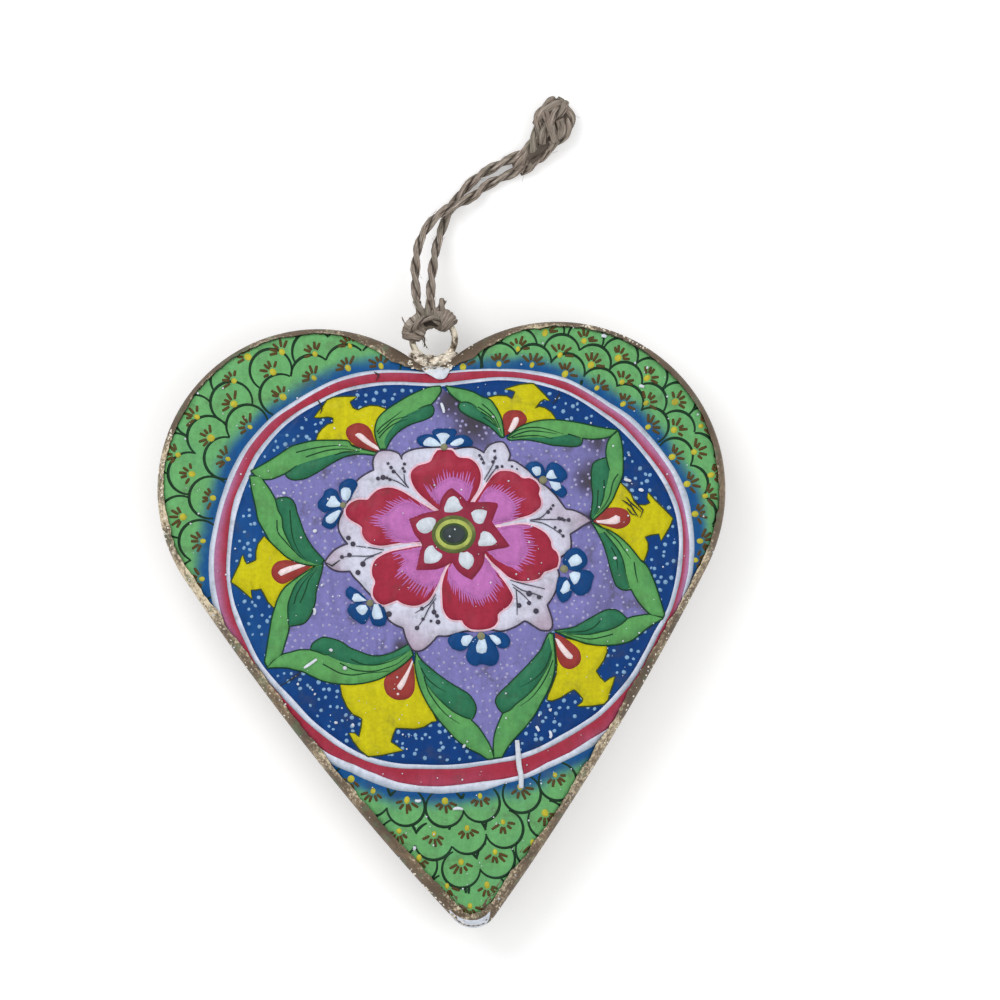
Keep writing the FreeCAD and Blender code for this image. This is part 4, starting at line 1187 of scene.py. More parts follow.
def hand_paint_group():
    """Hand-laid paint: colour that drifts, brush streaks, grime and a slightly uneven skin."""
    if "Hand paint" in bpy.data.node_groups:
        return bpy.data.node_groups["Hand paint"]
    group, given, put = new_group(
        "Hand paint",
        (("Colour", "NodeSocketColor", WHITE), ("Second colour", "NodeSocketColor", WHITE),
         *((label, "NodeSocketFloat", 0.0) for label in ("Shade", "Drift", "Grime"))),
        (("Colour", "NodeSocketColor"), ("Roughness", "NodeSocketFloat"),
         ("Height", "NodeSocketFloat")))
    given = given.outputs
    place = object_place(group)
    broad = ramped(group, speckle(group, place, "paint_broad"), "paint_drift")
    fine = speckle(group, place, "paint_fine")
    streaks = speckle(group, place, "paint_streaks")
    soil = ramped(group, speckle(group, place, "paint_soil"), "paint_soil")
    uneven = plus(group, given["Shade"], times(group, broad, given["Drift"]))
    colour = mixed(group, ramped(group, uneven, "paint_second"), given["Colour"],
                   given["Second colour"])
    light = times(group, ramped(group, streaks, "paint_streaks"), ramped(group, fine, "paint_fine"))
    grey = node(group, "ShaderNodeCombineColor", {0: light, 1: light, 2: light}).outputs[0]
    colour = mixed(group, 1.0, colour, grey, "MULTIPLY")
    colour = toned(group, times(group, soil, given["Grime"]), colour, "soil")
    for label, value in (("Colour", colour), ("Roughness", ramped(group, fine, "paint_rough")),
                         ("Height", grained(group, "paint", streaks, fine))):
        group.links.new(value, put.inputs[label])
    return group


def new_material(name):
    """A new material, its node tree and its shader."""
    material = bpy.data.materials.new(name)
    material.use_nodes = True
    return material, material.node_tree, material.node_tree.nodes["Principled BSDF"]


def finished(tree, shader, bump, height, linked, plain=None):
    """Gives a shader its bump, the values that change over the surface and those that don't."""
    strength, depth = BUMPS[bump]
    skin = node(tree, "ShaderNodeBump", {
        "Strength": strength, "Distance": depth * MM, "Height": height}).outputs[0]
    for label, value in {"Normal": skin, **linked}.items():
        tree.links.new(value, shader.inputs[label])
    for label, value in (plain or {}).items():
        shader.inputs[label].default_value = value


def painted(name):
    """A film's paint, which goes from its first colour to its second with the film's shade."""
    first, second, drift, grime = FILMS[name]
    material, tree, shader = new_material(name)
    paint = node(tree, "ShaderNodeGroup", {
        "Colour": rgba(tint(first)), "Second colour": rgba(tint(second)),
        "Shade": own_shade(tree), "Drift": drift, "Grime": grime,
    }, node_tree=hand_paint_group()).outputs
    finished(tree, shader, "paint", paint["Height"],
             {"Base Color": paint["Colour"], "Roughness": paint["Roughness"]}, PAINT_GLOSS)
    return material


def worn_bronze(name):
    """Dull bronze paint, worn through to cream in places, lighter on the left flank by scraping and
    by a painted highlight, and darker toward the top and the tip.
    """
    left_wear_and_highlight, hard, edge = BRONZES[name]
    material, tree, shader = new_material(name)
    place = object_place(tree)
    broad = speckle(tree, place, "bronze_broad")
    fine = speckle(tree, place, "bronze_fine")
    apart = node(tree, "ShaderNodeSeparateXYZ", {0: place}).outputs
    # The left flank is lightened toward cream: partly scrape marks, partly a painted highlight.
    left = times(tree, ramped(tree, apart["X"], "left_flank", left_wear_and_highlight),
                 ramped(tree, apart["Y"], "below_lobe"))
    patches = ramped(tree, speckle(tree, place, "bronze_patches"), "bronze_patches")
    worn = plus(tree, plus(tree, grained(tree, "bronze", broad, fine), left), patches)
    worn = plus(tree, worn, ramped(tree, own_shade(tree), "bronze_edge", edge))
    colour = mixed(tree, ramped(tree, broad, "bronze_shadow"), rgba(tint("bronze_shadow")),
                   rgba(tint("bronze")))
    # Darker toward the top and the tip of the heart.
    ends = calculated(tree, "MAXIMUM", ramped(tree, apart["Y"], "dark_top"),
                      ramped(tree, apart["Y"], "dark_foot"))
    colour = toned(tree, ends, colour, "bronze_dark")
    colour = toned(tree, ramped(tree, worn, "bronze_cream", shift=hard), colour, "cream")
    pits = ramped(tree, speckle(tree, place, "bronze_pits"), "bronze_pits")
    colour = toned(tree, pits, colour, "pits")
    green = ramped(tree, speckle(tree, place, "verdigris"), "verdigris")
    finished(tree, shader, "bronze", worn, {
        "Base Color": toned(tree, green, colour, "verdigris"),
        "Roughness": ramped(tree, fine, "bronze_rough"),
        "Metallic": ramped(tree, worn, "bronze_metal")})
    return material


def gilt_metal(name):
    """Gilt wire or solder: warm metal, tarnished in its hollows."""
    bright, start, sheen = GILTS[name]
    material, tree, shader = new_material(name)
    place = object_place(tree)
    worn = grained(tree, "gilt", speckle(tree, place, "gilt_broad"),
                   speckle(tree, place, "gilt_fine"))
    finished(tree, shader, name, worn, {
        "Base Color": toned(tree, ramped(tree, worn, "gilt_bright", shift=start),
                            rgba(tint("tarnish")), bright),
        "Roughness": ramped(tree, worn, "gilt_rough"),
        "Metallic": ramped(tree, worn, "gilt_metal", sheen)})
    return material


def jute_material():
    """Jute fibre: streaks that follow the strand's own map, dull and slightly hairy, darkened by
    painted shade where the strand's own shade value is low.
    """
    material, tree, shader = new_material("jute")
    strand = node(tree, "ShaderNodeUVMap", uv_map="strand").outputs[0]
    grain = grained(tree, "jute", speckle(tree, strand, "jute_fibres"),
                    speckle(tree, strand, "jute_fine"))
    broad = speckle(tree, object_place(tree), "jute_broad")
    colour = toned(tree, ramped(tree, grain, "jute_body"), rgba(tint("jute_dark")), "jute")
    colour = toned(tree, ramped(tree, grain, "jute_lit"), colour, "jute_light")
    colour = toned(tree, ramped(tree, broad, "jute_grey"), colour, "grey_jute")
    # Painted shade: the strand darkens where its shade value is low, in grooves and gaps.
    colour = toned(tree, ramped(tree, own_shade(tree), "jute_painted_shade"), colour, "jute_dark")
    finished(tree, shader, "jute", grain, {
        "Base Color": colour, "Roughness": ramped(tree, grain, "jute_rough")}, DULL_JUTE)
    return material


def smooth_outlines(table, by=0.0):
    outlines = [rounded(pairs(points)) for points in table]
    return [grown(outline, by) for outline in outlines] if by else outlines


def ring_lines():
    """The four lines of the medallion's ring, from the blue ground's edge outward, in pixels."""
    step = 3.0
    base = rounded([row[:2] for row in RING], True, step)
    widths = []
    for row, after in zip(RING, RING[1:] + RING[:1]):
        steps = max(1, math.ceil((Vector(after[:2]) - Vector(row[:2])).length / step))
        first, last = np.array(row[2:]), np.array(after[2:])
        widths += [first * (1 - part / steps) + last * (part / steps) for part in range(steps)]
    out = np.array(grown(base, 1.0)) - base
    lines = [np.array(base)]
    for width in np.array(widths).T:
        lines.append(lines[-1] + out * width[:, None])
    return lines


class TINHEART_OT_metal(bpy.types.Operator):
    """Give the shells, the seam, the ring and its solder their worn metal finishes."""
    bl_idname = "tin_heart.metal"
    bl_label = "Worn metal"

    def execute(self, context):
        solder = gilt_metal("gilt_solder")
        for name, finish in (
                ("front_shell", worn_bronze("rim_bronze")),
                ("back_shell", worn_bronze("back_bronze")),
                ("seam_solder", worn_bronze("seam_bronze")),
                ("hanger_ring", gilt_metal("gilt_wire")), ("ring_solder", solder)):
            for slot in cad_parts[name].material_slots:
                slot.material = finish
        drip_solder(solder)
        return {"FINISHED"}


def drip_solder(finish):
    """Uneven beads of solder where the ring meets the cleft."""
    bpy.ops.object.select_all(action="DESELECT")
    beads = []
    for x, y, height, radius in SOLDER_BEADS:
        middle = Vector((*placed([(x, y)])[0], height * MM))
        bpy.ops.mesh.primitive_ico_sphere_add(subdivisions=4, radius=radius * MM, location=middle)
        bead = bpy.context.object
        bead.scale = BEAD_SCALE
        bpy.ops.object.transform_apply(location=True, rotation=False, scale=True)
        for point in bead.data.vertices:
            lump = sum(noise.noise(point.co * scale) * reach for scale, reach in BEAD_LUMPS)
            point.co = middle + (point.co - middle) * (1 + lump)
        beads.append(bead)
    for bead in beads:
        bead.select_set(True)
    bpy.context.view_layer.objects.active = beads[0]
    bpy.ops.object.join()
    bpy.ops.object.shade_smooth()
    piece = bpy.context.object
    piece.name = "solder_beads"
    bpy.ops.object.origin_set(type="ORIGIN_CURSOR")
    piece.data.materials.append(finish)
    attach(piece, "heart")


def scale_shapes():
    """Arcs, strokes and dots of the scale pattern. Each row lies under the row inside it."""
    ring_edge = ring_lines()[3]
    arcs, strokes, dots = [], [], []
    for radius, outward, rows in SCALE_ZONES:
        covered = []
        for row in rows:
            dabs = np.array(pairs(row), float)
            outs = dabs - MEDALLION_CENTRE
            outs /= np.linalg.norm(outs, axis=1)[:, None]
            circles = list(dabs + outs * outward)
            for dab, out, middle in zip(dabs, outs, circles):
                others = covered + [other for other in circles if other is not middle]
                turn = math.atan2(out[1], out[0])
                run = []
                for step in range(-ARC_STEPS, ARC_STEPS + 1):
                    at = middle + radius * way(turn + math.radians(step * ARC_STEP))
                    hidden = inside(ring_edge, at[None, :])[0] or any(
                        np.linalg.norm(at - other) < radius - HIDDEN_MARGIN for other in others)
                    if not hidden:
                        run.append(tuple(at))
                    if hidden or step == ARC_STEPS:
                        if len(run) > 2:
                            arcs.append(stroke(run, LINE_WIDTH, ARC_TAPER, ARC_TAPER, False))
                        run = []
                dots.append(blob(*dab, random.uniform(*DOT_SIZES), 9,
                                 random.uniform(*DOT_SQUASH), turn))
                for lean in STROKE_LEANS:
                    spread = random.uniform(-LEAN_SPREAD, LEAN_SPREAD)
                    ahead = way(turn + math.radians(lean + spread))
                    start = dab + ahead * random.uniform(*STROKE_STARTS)
                    end = dab + ahead * random.uniform(*STROKE_ENDS)
                    strokes.append(stroke((start, (start + end) / 2, end), LINE_WIDTH,
                                          *STROKE_TAPER))
            covered.extend(circles)
    return arcs, strokes, dots


class TINHEART_OT_scales(bpy.types.Operator):
    """Paint the green ground of the shell and its scale pattern."""
    bl_idname = "tin_heart.scales"
    bl_label = "Scale pattern"

    def execute(self, context):
        ring_edge = placed(ring_lines()[3])

        def haze(plan):
            apart = ((plan[:, None, :] - ring_edge[None, ::3, :]) ** 2).sum(2).min(1) ** 0.5
            return between(apart / PIXEL, *HAZE_PIXELS)

        edge = in_pixels((OUTLINE[::3] + INWARD[::3] * GROUND_EDGE) * MM)
        film("scale_ground", [edge], haze)
        arcs, strokes, dots = scale_shapes()
        film("scale_lines", arcs)
        film("scale_strokes", strokes)
        film("scale_dots", dots)
        return {"FINISHED"}


def scattered(outline, spacing, radius):
    """Small dabs on an uneven grid inside an outline of photograph points."""
    outline = np.asarray(outline, float)
    low, high = outline.min(0), outline.max(0)
    dabs = []
    row = 0
    y = low[1]
    while y < high[1]:
        x = low[0] + (spacing / 2 if row % 2 else 0)
        while x < high[0]:
            at = np.array([value + random.uniform(-SPECK_STRAY, SPECK_STRAY) * spacing
                           for value in (x, y)])
            if inside(outline, at[None, :])[0] and random.random() < SPECK_CHANCE:
                dabs.append(blob(*at, radius * random.uniform(*SPECK_SIZES), 8,
                                 random.uniform(*SPECK_SQUASH), random.uniform(*ANY_TURN)))
            x += spacing
        y += spacing * SPECK_ROWS
        row += 1
    return dabs


def shaded_and_soiled(plan):
    """Painted shade and grime on the lilac star: the painted shade grows gently darker to the
    right, and grime lies in the places of STAR_GRIME.
    """
    pixels = in_pixels(plan)
    shades = between(pixels[:, 0], *STAR_SHADOW)
    for x, y, reach in STAR_GRIME:
        apart = np.linalg.norm(pixels - np.array((x, y)), axis=1) / reach
        shades = np.maximum(shades, between(apart, *GRIME_FADE))
    return shades


class TINHEART_OT_medallion(bpy.types.Operator):
    """Paint the ring, the blue ground and the lilac star of the medallion."""
    bl_idname = "tin_heart.medallion"
    bl_label = "Medallion"

    def execute(self, context):
        pixels = ring_lines()
        lines = [placed(line) for line in pixels]
        x, y = pixels[1].T
        right = between(x, *FADED_RIGHT_X) * between(y, *FADED_RIGHT_Y)
        left = between(x, *FADED_LEFT_X) * between(y, *FADED_LEFT_Y)
        band("ring_outer_white", lines[2], lines[3], 3)
        band("ring_red", lines[1], lines[2], 6, RING_FADE + np.maximum(right, left))
        band("ring_inner_white", lines[0], lines[1], 3)
        # The blue ground gets a painted highlight: it is paler toward the left.
        film("blue_ground", [pixels[0]], lambda plan: between(plan[:, 0], *BLUE_PAINTED_LIGHT))
        film("blue_specks", scattered(grown(pixels[0], -4), *BLUE_SPECKS))
        star = pairs(LILAC_STAR)
        film("lilac_star", [star], shaded_and_soiled)
        film("lilac_specks", scattered(star, *LILAC_SPECKS))
        return {"FINISHED"}


class TINHEART_OT_leaves(bpy.types.Operator):
    """Paint the twelve leaves with their dark halves, outlines and veins."""
    bl_idname = "tin_heart.leaves"
    bl_label = "Leaves"

    def execute(self, context):
        film("leaf_edges", smooth_outlines(LEAVES, 0.9))
        film("leaves", smooth_outlines(LEAVES, -0.5))
        halves, veins = leaf_halves()
        film("leaf_shades", [grown(rounded(half), -0.6) for half in halves])
        film("leaf_veins", [stroke(vein, VEIN_WIDTH) for vein in veins])
        return {"FINISHED"}


class TINHEART_OT_blossoms(bpy.types.Operator):
    """Paint the six yellow blossoms and the red-brown drop in each."""
    bl_idname = "tin_heart.blossoms"
    bl_label = "Yellow blossoms"

    def execute(self, context):
        outlines = [pairs(points) for points in BLOSSOMS]
        film("blossom_edges", [grown(outline, 0.9) for outline in outlines])
        film("blossoms", [grown(outline, -0.6) for outline in outlines])
        film("drops", smooth_outlines(DROPS))
        film("drop_lights", smooth_outlines(DROP_LIGHTS))
        return {"FINISHED"}


def leaf_halves():
    """The dark half of each leaf, and the veins of them all, in pixels."""
    halves, veins = [], []
    for leaf, (fold, (start, count, way_round), (first, last), others) in zip(LEAVES, LEAF_FOLDS):
        leaf = pairs(leaf)
        half = pairs(fold) + [leaf[(start + way_round * step) % len(leaf)]
                              for step in range(count)]
        halves.append(half)
        veins += [half[first:last]] if last else []
        veins += [pairs(vein) for vein in others]
    return halves, veins


def petal_ticks():
    """Thin pale strokes that run outward from each petal's heart."""
    ticks = []
    for heart, petal in zip(PETAL_HEARTS, PETALS):
        whole = rounded(pairs(petal))
        for at in np.array(rounded(pairs(heart), True, TICK_STEP)):
            out = at - MEDALLION_CENTRE
            reach = np.linalg.norm(out)
            if reach < TICK_CLEAR:
                continue
            out = out / reach + [random.uniform(-TICK_STRAY, TICK_STRAY) for _ in range(2)]
            end = at + out * random.uniform(*TICK_LENGTHS)
            if inside(whole, end[None, :])[0]:
                points = (at - out * TICK_ROOT, (at + end) / 2, end)
                ticks.append(stroke(points, *TICK_STROKE))
    return ticks


class TINHEART_OT_flower(bpy.types.Operator):
    """Paint the white field, the six petals, the crimson star and the eye of the flower."""
    bl_idname = "tin_heart.flower"
    bl_label = "Great flower"

    def execute(self, context):

        def toward_tips(plan):
            apart = np.linalg.norm(in_pixels(plan) - MEDALLION_CENTRE, axis=1)
            return between(apart, *FIELD_SHADOW)

        film("field_edge", smooth_outlines((WHITE_FIELD,), 1.0))
        film("white_field", smooth_outlines((WHITE_FIELD,), -0.7), toward_tips)
        film("petal_edges", smooth_outlines(PETALS, 0.8))
        film("petals", smooth_outlines(PETALS, -1.2))
        film("petal_hearts", smooth_outlines(PETAL_HEARTS))
        film("petal_ticks", petal_ticks())
        film("crimson_star", smooth_outlines((CRIMSON_STAR,)))
        film("lozenges", smooth_outlines(LOZENGES))
        for name, half_width, half_height in EYE:
            film(name, [blob(*MEDALLION_CENTRE, half_width, 40, half_height / half_width)])
        return {"FINISHED"}


class TINHEART_OT_small_flowers(bpy.types.Operator):
    """Paint the small blue flowers and the stamens between the petals."""
    bl_idname = "tin_heart.small_flowers"
    bl_label = "Small flowers and stamens"

    def execute(self, context):
        film("small_blue_petals", smooth_outlines(SMALL_BLUE_PETALS))
        film("small_white_petals", smooth_outlines(SMALL_WHITE_PETALS))
        film("small_hearts", [blob(*dab, 14) for dab in SMALL_HEARTS])
        marks = [stroke(pairs(line), *STAMEN_STROKE) for line in STAMEN_LINES]
        film("stamens", marks + [blob(*dab, 10) for dab in STAMEN_DOTS])
        return {"FINISHED"}


def rim_widths(points):
    """The painted rim's width in metres at points of the outline, uneven as by hand."""
    bearings, widths = np.array(RIM_WIDTHS, float).T
    pixels = in_pixels(points * MM)
    turned = np.degrees(np.arctan2(HEART_CENTRE[1] - pixels[:, 1], pixels[:, 0] - HEART_CENTRE[0]))
    turned = np.where(turned < bearings[0], turned + 360, turned)
    width = np.interp(turned, bearings, widths)
    for scale, height, reach in RIM_WANDERS:
        width += np.array([noise.noise(Vector((x * scale, y * scale, height)))
                           for x, y in points]) * reach
    return width * PIXEL


def spatter(heart):
    """Tiny flecks of primer all over the heart, thicker on its lower half."""
    low, high = heart.min(0), heart.max(0)
    flecks = []
    while len(flecks) < SPATTER_COUNT:
        x = random.uniform(low[0], high[0])
        y = random.uniform(low[1], high[1])
        likely = SPATTER_TOP + SPATTER_FOOT * (y - low[1]) / (high[1] - low[1])
        if random.random() < likely and inside(heart, np.array([(x, y)]))[0]:
            flecks.append((x, y, random.choice(SPATTER_SIZES)))
    return flecks


def rim_flecks_and_glints(heart):
    """Bright flecks on the rim, scrape marks and painted glints, where the photograph shows them.
    """
    flecks = []
    along = np.roll(heart, -1, 0) - heart
    inward = np.column_stack((-along[:, 1], along[:, 0]))
    inward /= np.linalg.norm(inward, axis=1)[:, None]
    if ((heart.mean(0) - heart) * inward).sum() < 0:
        inward = -inward
    for *low, high_x, high_y, count, depth, radius in FLECK_ZONES:
        held = np.flatnonzero(((heart > low) & (heart < (high_x, high_y))).all(1))
        for _ in range(count):
            at = random.choice(held)
            turn = math.atan2(along[at, 1], along[at, 0])
            place = (heart[at] + inward[at] * random.uniform(FLECK_INSET, depth)
                     + along[at] * random.random())
            flecks.append(blob(*place, radius * random.uniform(*FLECK_SIZES), 7,
                               random.uniform(*FLECK_SQUASH),
                               turn + random.uniform(-FLECK_LEAN, FLECK_LEAN)))
    return flecks


class TINHEART_OT_wear(bpy.types.Operator):
    """Paint the bronze rim, and add the chips, bare primer and grime."""
    bl_idname = "tin_heart.wear"
    bl_label = "Rim and wear"

    def execute(self, context):
        points, inward = OUTLINE[::2], INWARD[::2]
        band("rim_paint", points * MM + inward * rim_widths(points)[:, None],
             points * MM + inward * OUTER_EDGE * MM, 8)
        chips = [blob(x, y, radius * CHIP_SHARE, 7, random.uniform(*CHIP_SQUASH),
                      random.uniform(*ANY_TURN)) for x, y, radius in CHIP_DOTS]
        chips += [stroke(pairs(line), *CHIP_STROKE) for line in CHIP_STROKES]
        chips.append(stroke(pairs(WHITE_DRIP), *DRIP_STROKE))
        heart = in_pixels(OUTLINE[::6] * MM)
        chips += [blob(*dab, 6) for dab in spatter(heart)]
        chips += smooth_outlines((PRIMER_PATCH, TIP_PRIMER))
        film("chips", chips)
        film("rim_flecks_and_glints", rim_flecks_and_glints(heart))
        film("grime_marks", [stroke(pairs(line), *GRIME_STROKE) for line in GRIME_STROKES])
        return {"FINISHED"}


def route_line(name, route):
    """Points along the smooth line that a strand's route points, in millimetres, control."""
    curve = bpy.data.curves.new(name, "CURVE")
    curve.dimensions = "3D"
    curve.resolution_u = 16
    spline = curve.splines.new("NURBS")
    spline.points.add(len(route) - 1)
    for point, place in zip(spline.points, route):
        point.co = (*[float(value) * MM for value in place], 1.0)
    spline.order_u = 3
    spline.use_endpoint_u = True
    holder = bpy.data.objects.new(name, curve)
    read = bpy.data.meshes.new_from_object(holder)
    line = [vertex.co.copy() for vertex in read.vertices]
    bpy.data.objects.remove(holder)
    bpy.data.curves.remove(curve)
    bpy.data.meshes.remove(read)
    return line


def even(line, step):
    """The same line with even steps."""
    points = np.array(line)
    runs = np.linalg.norm(np.diff(points, axis=0), axis=1)
    far = np.concatenate(((0,), np.cumsum(runs)))
    count = max(2, math.ceil(far[-1] / step)) + 1
    at = np.linspace(0, far[-1], count)
    return [Vector([np.interp(value, far, points[:, k]) for k in range(3)]) for value in at]


def carried_frames(line):
    """Two side directions at each point of a line, which turn no more than the line does."""
    sides = []
    ahead = (line[1] - line[0]).normalized()
    start = Vector((0, 0, 1)) if abs(ahead.z) < 0.9 else Vector((1, 0, 0))
    side = (start - ahead * start.dot(ahead)).normalized()
    for at in range(len(line)):
        before = line[max(at - 1, 0)]
        after = line[min(at + 1, len(line) - 1)]
        ahead = (after - before).normalized()
        side = (side - ahead * side.dot(ahead)).normalized()
        sides.append((side.copy(), ahead.cross(side)))
    return sides


class Strand:
    """Points, faces, map places and shades of one piece of twine, as its tubes are added."""

    def __init__(self):
        self.points, self.faces, self.places, self.shades = [], [], [], []

    def add_tube(self, line, radius, sides, rough=0.0, seed=0.0, cores=None, plain=HAIR_SHADE):
        """Adds a closed tube of fibre round a line, with a map that runs along it. Its shades paint
        shade on it: they fall from 1 on the outside to 0 where it faces its cores, or are plain
        without them."""
        run = 0.0
        rings = []
        before = line[0]
        for at, (point, frame_at) in enumerate(zip(line, carried_frames(line))):
            run += (point - before).length
            before = point
            ring = []
            for step in range(sides):
                x, y = way(math.tau * step / sides)
                lump = noise.noise(Vector((x * LUMP_ROUND, y * LUMP_ROUND,
                                           run / radius * LUMP_ALONG)) + Vector((seed, 0, seed)))
                ring.append(len(self.points))
                out = frame_at[0] * x + frame_at[1] * y
                self.points.append(point + out * radius * (1 + rough * lump))
                self.places.append((step / sides, run / (math.tau * radius)))
                # Painted shade: darker where the tube faces its cores.
                shade = plain
                if cores:
                    past = (self.points[-1] - cores[at]).length - (point - cores[at]).length
                    shade = min(1.0, max(0.0, past / radius))
                self.shades.append(shade)
            rings.append(ring)
        for low, high in zip(rings, rings[1:]):
            for step in range(sides):
                after = (step + 1) % sides
                self.faces.append((low[step], low[after], high[after], high[step]))
        self.faces.append(tuple(reversed(rings[0])))
        self.faces.append(tuple(rings[-1]))

    def add_hair(self, line, frames, width, length):
        """Adds one stray fibre at a random place of a strand."""
        at = random.randrange(len(line) - 1)
        ahead = (line[at + 1] - line[at]).normalized()
        x, y = way(random.uniform(0, math.tau))
        out = frames[at][0] * x + frames[at][1] * y
        root = line[at] + out * width * HAIR_ROOT
        long = length * MM * random.uniform(*HAIR_LENGTHS)
        lean = ahead * random.uniform(*HAIR_AHEAD) * random.choice((-1, 1))
        lean += out * random.uniform(*HAIR_OUT)
        lean.normalize()
        bow = out * random.uniform(*HAIR_BOW)
        self.add_tube([root + lean * long * share + bow * long * share**2
                       for share in HAIR_SHARES], HAIR_RADIUS * MM, HAIR_SIDES)


def wire_middle(point):
    """The point of the ring's wire, in metres, that is nearest to a point."""
    centre = RING_CENTRE * MM
    out = Vector((point.x - centre.x, point.y - centre.y, 0.0)).normalized()
    return centre + out * RING_RADIUS * MM


def twine_piece(name, runs, material, body, hairs=0, hair_length=1.6, hollow_shade=0.1):
    """Strands of twine as one piece, with stray fibres. A run is a line, its width, its number of
    plies and the length of one turn of them. No ply makes a dark tube of painted shade inside a
    knot or in the gap under the hitch's strap, with the shade value given for it. Two or more plies
    get painted shade where they face each other; one ply gets it on the side toward the ring's wire
    in the hitch, or else on its sides and underside, so that its top looks lit. Hairs are counted
    for each 10 mm."""
    strand = Strand()
    shade_core_below = Vector((0, 0, SHADE_CORE_DEPTH * MM))
    for order, (line, width, plies, twist) in enumerate(runs):
        line = even(line, width * LINE_STEP)
        frames = carried_frames(line)
        apart, thick = PLY_PLACES[min(plies, 2)]
        # Cores that a ply's painted shade faces: the strand's middle, the ring's wire, or a point
        # below.
        cores = line if plies > 1 else None
        if plies == 1:
            cores = [wire_middle(point) if body == "hitch" else point - shade_core_below
                     for point in line]
        for ply in range(max(plies, 1)):
            run = 0.0
            middle = []
            before = line[0]
            for point, (first, second) in zip(line, frames):
                run += (point - before).length
                before = point
                angle = (order * RUN_TURN + math.tau * ply / max(plies, 1)
                         - math.tau * run / twist)
                middle.append(point + (first * math.cos(angle) + second * math.sin(angle))
                              * width * apart)
            strand.add_tube(middle, width * thick, PLY_SIDES, PLY_ROUGHNESS,
                            order * RUN_SEED + ply * PLY_SEED, cores, hollow_shade)
        for _ in range(round(hairs * length_of(line) / (10 * MM))):
            strand.add_hair(line, frames, width, hair_length)
    piece = mesh_object(name, strand.points, strand.faces, strand.shades, material)
    layer = piece.data.uv_layers.new(name="strand")
    for loop in piece.data.loops:
        layer.data[loop.index].uv = strand.places[loop.vertex_index]
    bpy.ops.object.mode_set(mode="EDIT")
    bpy.ops.mesh.select_all(action="SELECT")
    bpy.ops.mesh.normals_make_consistent(inside=False)
    bpy.ops.object.mode_set(mode="OBJECT")
    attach(piece, body)
    return piece


def from_ring(points):
    """Millimetre points to the right of and above the ring's centre, as points on the plan."""
    return [(x + RING_CENTRE.x, y + RING_CENTRE.y, z) for x, y, z in points]


def length_of(line):
    return sum((after - before).length for before, after in zip(line, line[1:]))


def above_photo(points):
    """Photograph points with a height above the table in millimetres, as places in metres."""
    plan = placed([point[:2] for point in points]) / MM
    return [(x, y, point[2]) for (x, y), point in zip(plan, points)]


class TINHEART_OT_twine(bpy.types.Operator):
    """Twist the jute twine: two free strands, the hitch on the ring, its cut end and the knot."""
    bl_idname = "tin_heart.twine"
    bl_label = "Jute twine"

    def execute(self, context):
        size = sizes()
        jute = jute_material()
        runs = [(route_line("knot_run", above_photo(run)), width * MM, plies, KNOT_TWIST * MM)
                for width, plies, run in KNOT_RUNS]
        knot = twine_piece("twine_knot", runs, jute, "loop", 9, hollow_shade=KNOT_PAINTED_SHADE)
        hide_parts("twine_end_knot")
        for name, route, replaced, pieces in (
                ("twine_left_strand", LEFT_STRAND, "twine_left_leg", (knot,)),
                ("twine_right_strand", RIGHT_STRAND, "twine_right_leg", ())):
            line = route_line(name, from_ring(route))
            strand = twine_piece(name, [(line, size.twine, 2, size.twist)], jute, "loop", 11)
            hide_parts(replaced)
        tie_hitch(size, jute)
        return {"FINISHED"}


def wound():
    """The line of the twine that is wound round the ring's wire, in metres."""
    wraps = []
    for start, end, coil, swell, turns in HITCH_WRAPS:
        count = round(turns * HITCH_STEPS)
        for step in range(count):
            share = step / count
            bearing = math.radians(start + (end - start) * share)
            angle = math.tau * turns * share
            bulge = coil + swell * math.sin(math.pi * share) ** HITCH_SWELL
            reach = RING_RADIUS + bulge * math.cos(angle)
            wraps.append(Vector((RING_CENTRE.x + reach * math.cos(bearing),
                                 RING_CENTRE.y + reach * math.sin(bearing),
                                 RING_CENTRE.z + bulge * math.sin(angle))) * MM)
    return wraps


def tie_hitch(size, jute):
    """Wraps round the ring's wire, the strap over them, the roots of both strands and the tail."""
    runs = [(route_line("stray", above_photo(route)), STRAY_WIDTH * MM, 2, STRAY_TWIST * MM)
            for route in HITCH_STRAYS]
    runs += [
        (wound(), size.hitch_twine, 1, 1.0),
        # A dark tube of painted shadow in the gap under the strap.
        (route_line("hollow_shade", above_photo(HITCH_SHADOW_TUBE)), SHADOW_TUBE_WIDTH * MM, 0, 1.0),
        (route_line("strap", above_photo(HITCH_STRAP)), size.hitch_twine, 2, STRAP_TWIST * MM),
        (route_line("left_root", from_ring(LEFT_ROOT)), size.twine, 2, size.twist),
        (route_line("right_root", from_ring(RIGHT_ROOT)), size.twine, 2, size.twist),
    ]
    hitch = twine_piece("twine_hitch_wraps", runs, jute, "hitch", 5)
    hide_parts("twine_hitch")
    tail = route_line("tail", from_ring(CUT_END))
    tail = twine_piece("twine_cut_end", [(tail, TAIL_WIDTH * MM, 2, TAIL_TWIST * MM)], jute,
                       "hitch", 60, 1.2)
    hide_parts("twine_tail")


def clear_rays(tree):
    """A mask of the rays that show the plain white ground: to the camera, metal and glass."""
    path = node(tree, "ShaderNodeLightPath").outputs
    mirrored = calculated(tree, "MAXIMUM", path["Is Glossy Ray"], path["Is Transmission Ray"])
    return calculated(tree, "MAXIMUM", path["Is Camera Ray"], mirrored)


def placed_object(name, data, place):
    """A new lamp or camera at its place."""
    made = bpy.data.objects.new(name, data)
    bpy.context.scene.collection.objects.link(made)
    made.location = place
    return made


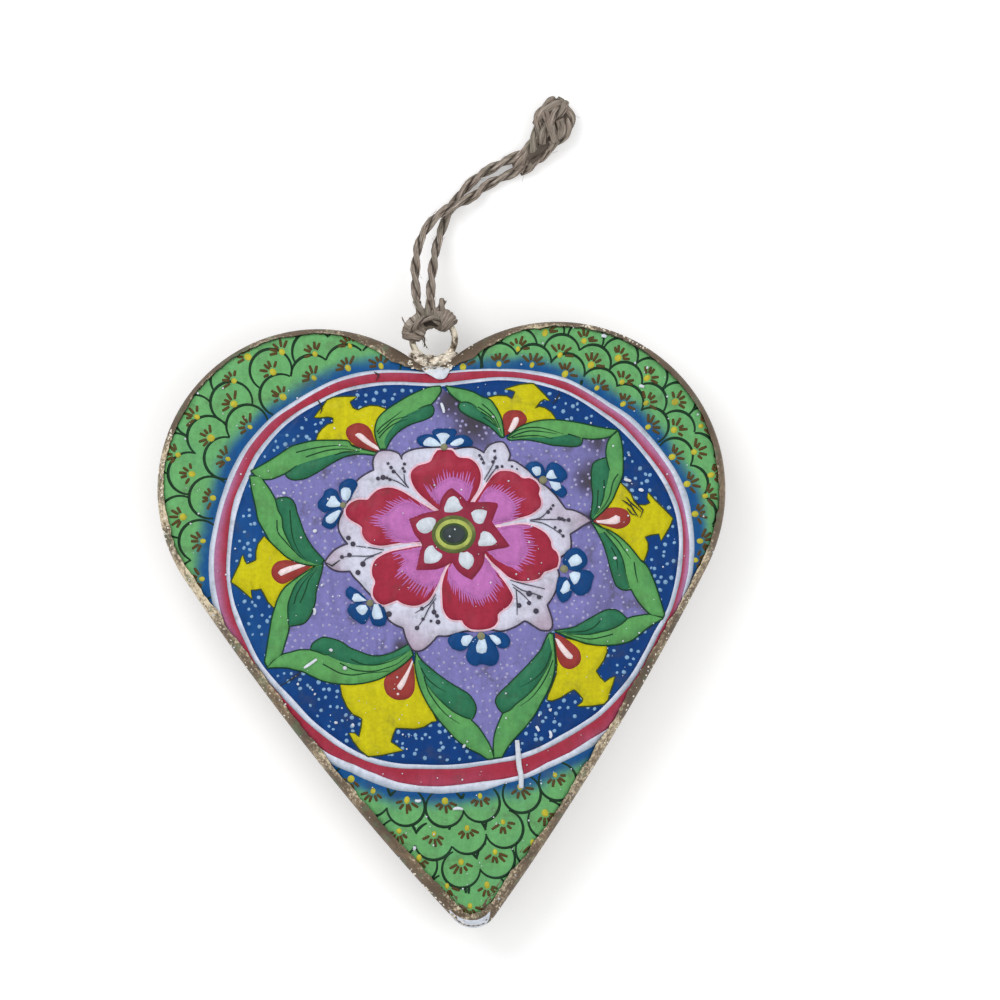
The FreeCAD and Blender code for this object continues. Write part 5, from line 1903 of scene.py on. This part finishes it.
class TINHEART_OT_stage(bpy.types.Operator):
    """Set the floor, the soft studio light and the camera that looks straight down."""
    bl_idname = "tin_heart.stage"
    bl_label = "Studio"

    def execute(self, context):
        scene = context.scene
        bpy.ops.object.select_all(action="DESELECT")
        bpy.ops.mesh.primitive_plane_add(size=FLOOR_SIZE, location=(0, 0, FLOOR_HEIGHT))
        floor = context.object
        floor.name = "floor"
        material, tree, shader = new_material("floor_white")
        glow = ramped(tree, clear_rays(tree), "floor_glow")
        tree.links.new(node(tree, "ShaderNodeCombineColor", {0: glow, 1: glow, 2: glow}).outputs[0],
                       shader.inputs["Emission Color"])
        for label, value in FLOOR_WHITE.items():
            shader.inputs[label].default_value = value
        floor.data.materials.append(material)

        world = bpy.data.worlds.new("studio")
        world.use_nodes = True
        scene.world = world
        tree = world.node_tree
        background = tree.nodes["Background"]
        tree.links.new(ramped(tree, clear_rays(tree), "sky"), background.inputs["Strength"])
        background.inputs["Color"].default_value = WHITE

        for name, place, size, power in LAMPS:
            data = bpy.data.lights.new(name, "AREA")
            data.size = size
            data.energy = power
            lamp = placed_object(name, data, place)
            lamp.rotation_euler = (-Vector(place)).to_track_quat("-Z", "Y").to_euler()

        data = bpy.data.cameras.new("camera")
        data.type = "ORTHO"
        data.ortho_scale = PHOTO_SIDE * PIXEL
        middle = placed([(PHOTO_SIDE / 2, PHOTO_SIDE / 2)])[0]
        scene.camera = placed_object("camera", data, (*middle, CAMERA_HEIGHT))
        scene.view_settings.view_transform = "Standard"
        return {"FINISHED"}


OPERATORS = (
    TINHEART_OT_metal, TINHEART_OT_scales, TINHEART_OT_medallion, TINHEART_OT_blossoms,
    TINHEART_OT_leaves, TINHEART_OT_flower, TINHEART_OT_small_flowers, TINHEART_OT_wear,
    TINHEART_OT_twine, TINHEART_OT_stage,
)


class TINHEART_PT_panel(bpy.types.Panel):
    """Buttons for each group of pieces, and the sizes and colours they use."""
    bl_idname = "TINHEART_PT_panel"
    bl_label = "Tin heart"
    bl_space_type = "VIEW_3D"
    bl_region_type = "UI"
    bl_category = "Tin heart"

    def draw(self, context):
        for operator in OPERATORS:
            self.layout.operator(operator.bl_idname)
        for group in (context.scene.tin_heart_sizes, context.scene.tin_heart_colours):
            column = self.layout.column()
            for name in group.bl_rna.properties.keys():
                if name not in ("rna_type", "name"):
                    column.prop(group, name)


CLASSES = (TINHEART_PG_sizes, TINHEART_PG_colours, *OPERATORS, TINHEART_PT_panel)


def register():
    for kind in CLASSES:
        bpy.utils.register_class(kind)
    bpy.types.Scene.tin_heart_sizes = bpy.props.PointerProperty(type=TINHEART_PG_sizes)
    bpy.types.Scene.tin_heart_colours = bpy.props.PointerProperty(type=TINHEART_PG_colours)


def unregister():
    del bpy.types.Scene.tin_heart_colours
    del bpy.types.Scene.tin_heart_sizes
    for kind in reversed(CLASSES):
        bpy.utils.unregister_class(kind)


def main():
    """Builds every piece in order."""
    random.seed(7)
    register()
    for operator in OPERATORS:
        group, name = operator.bl_idname.split(".")
        getattr(getattr(bpy.ops, group), name)()


if __name__ == "__main__":
    main()
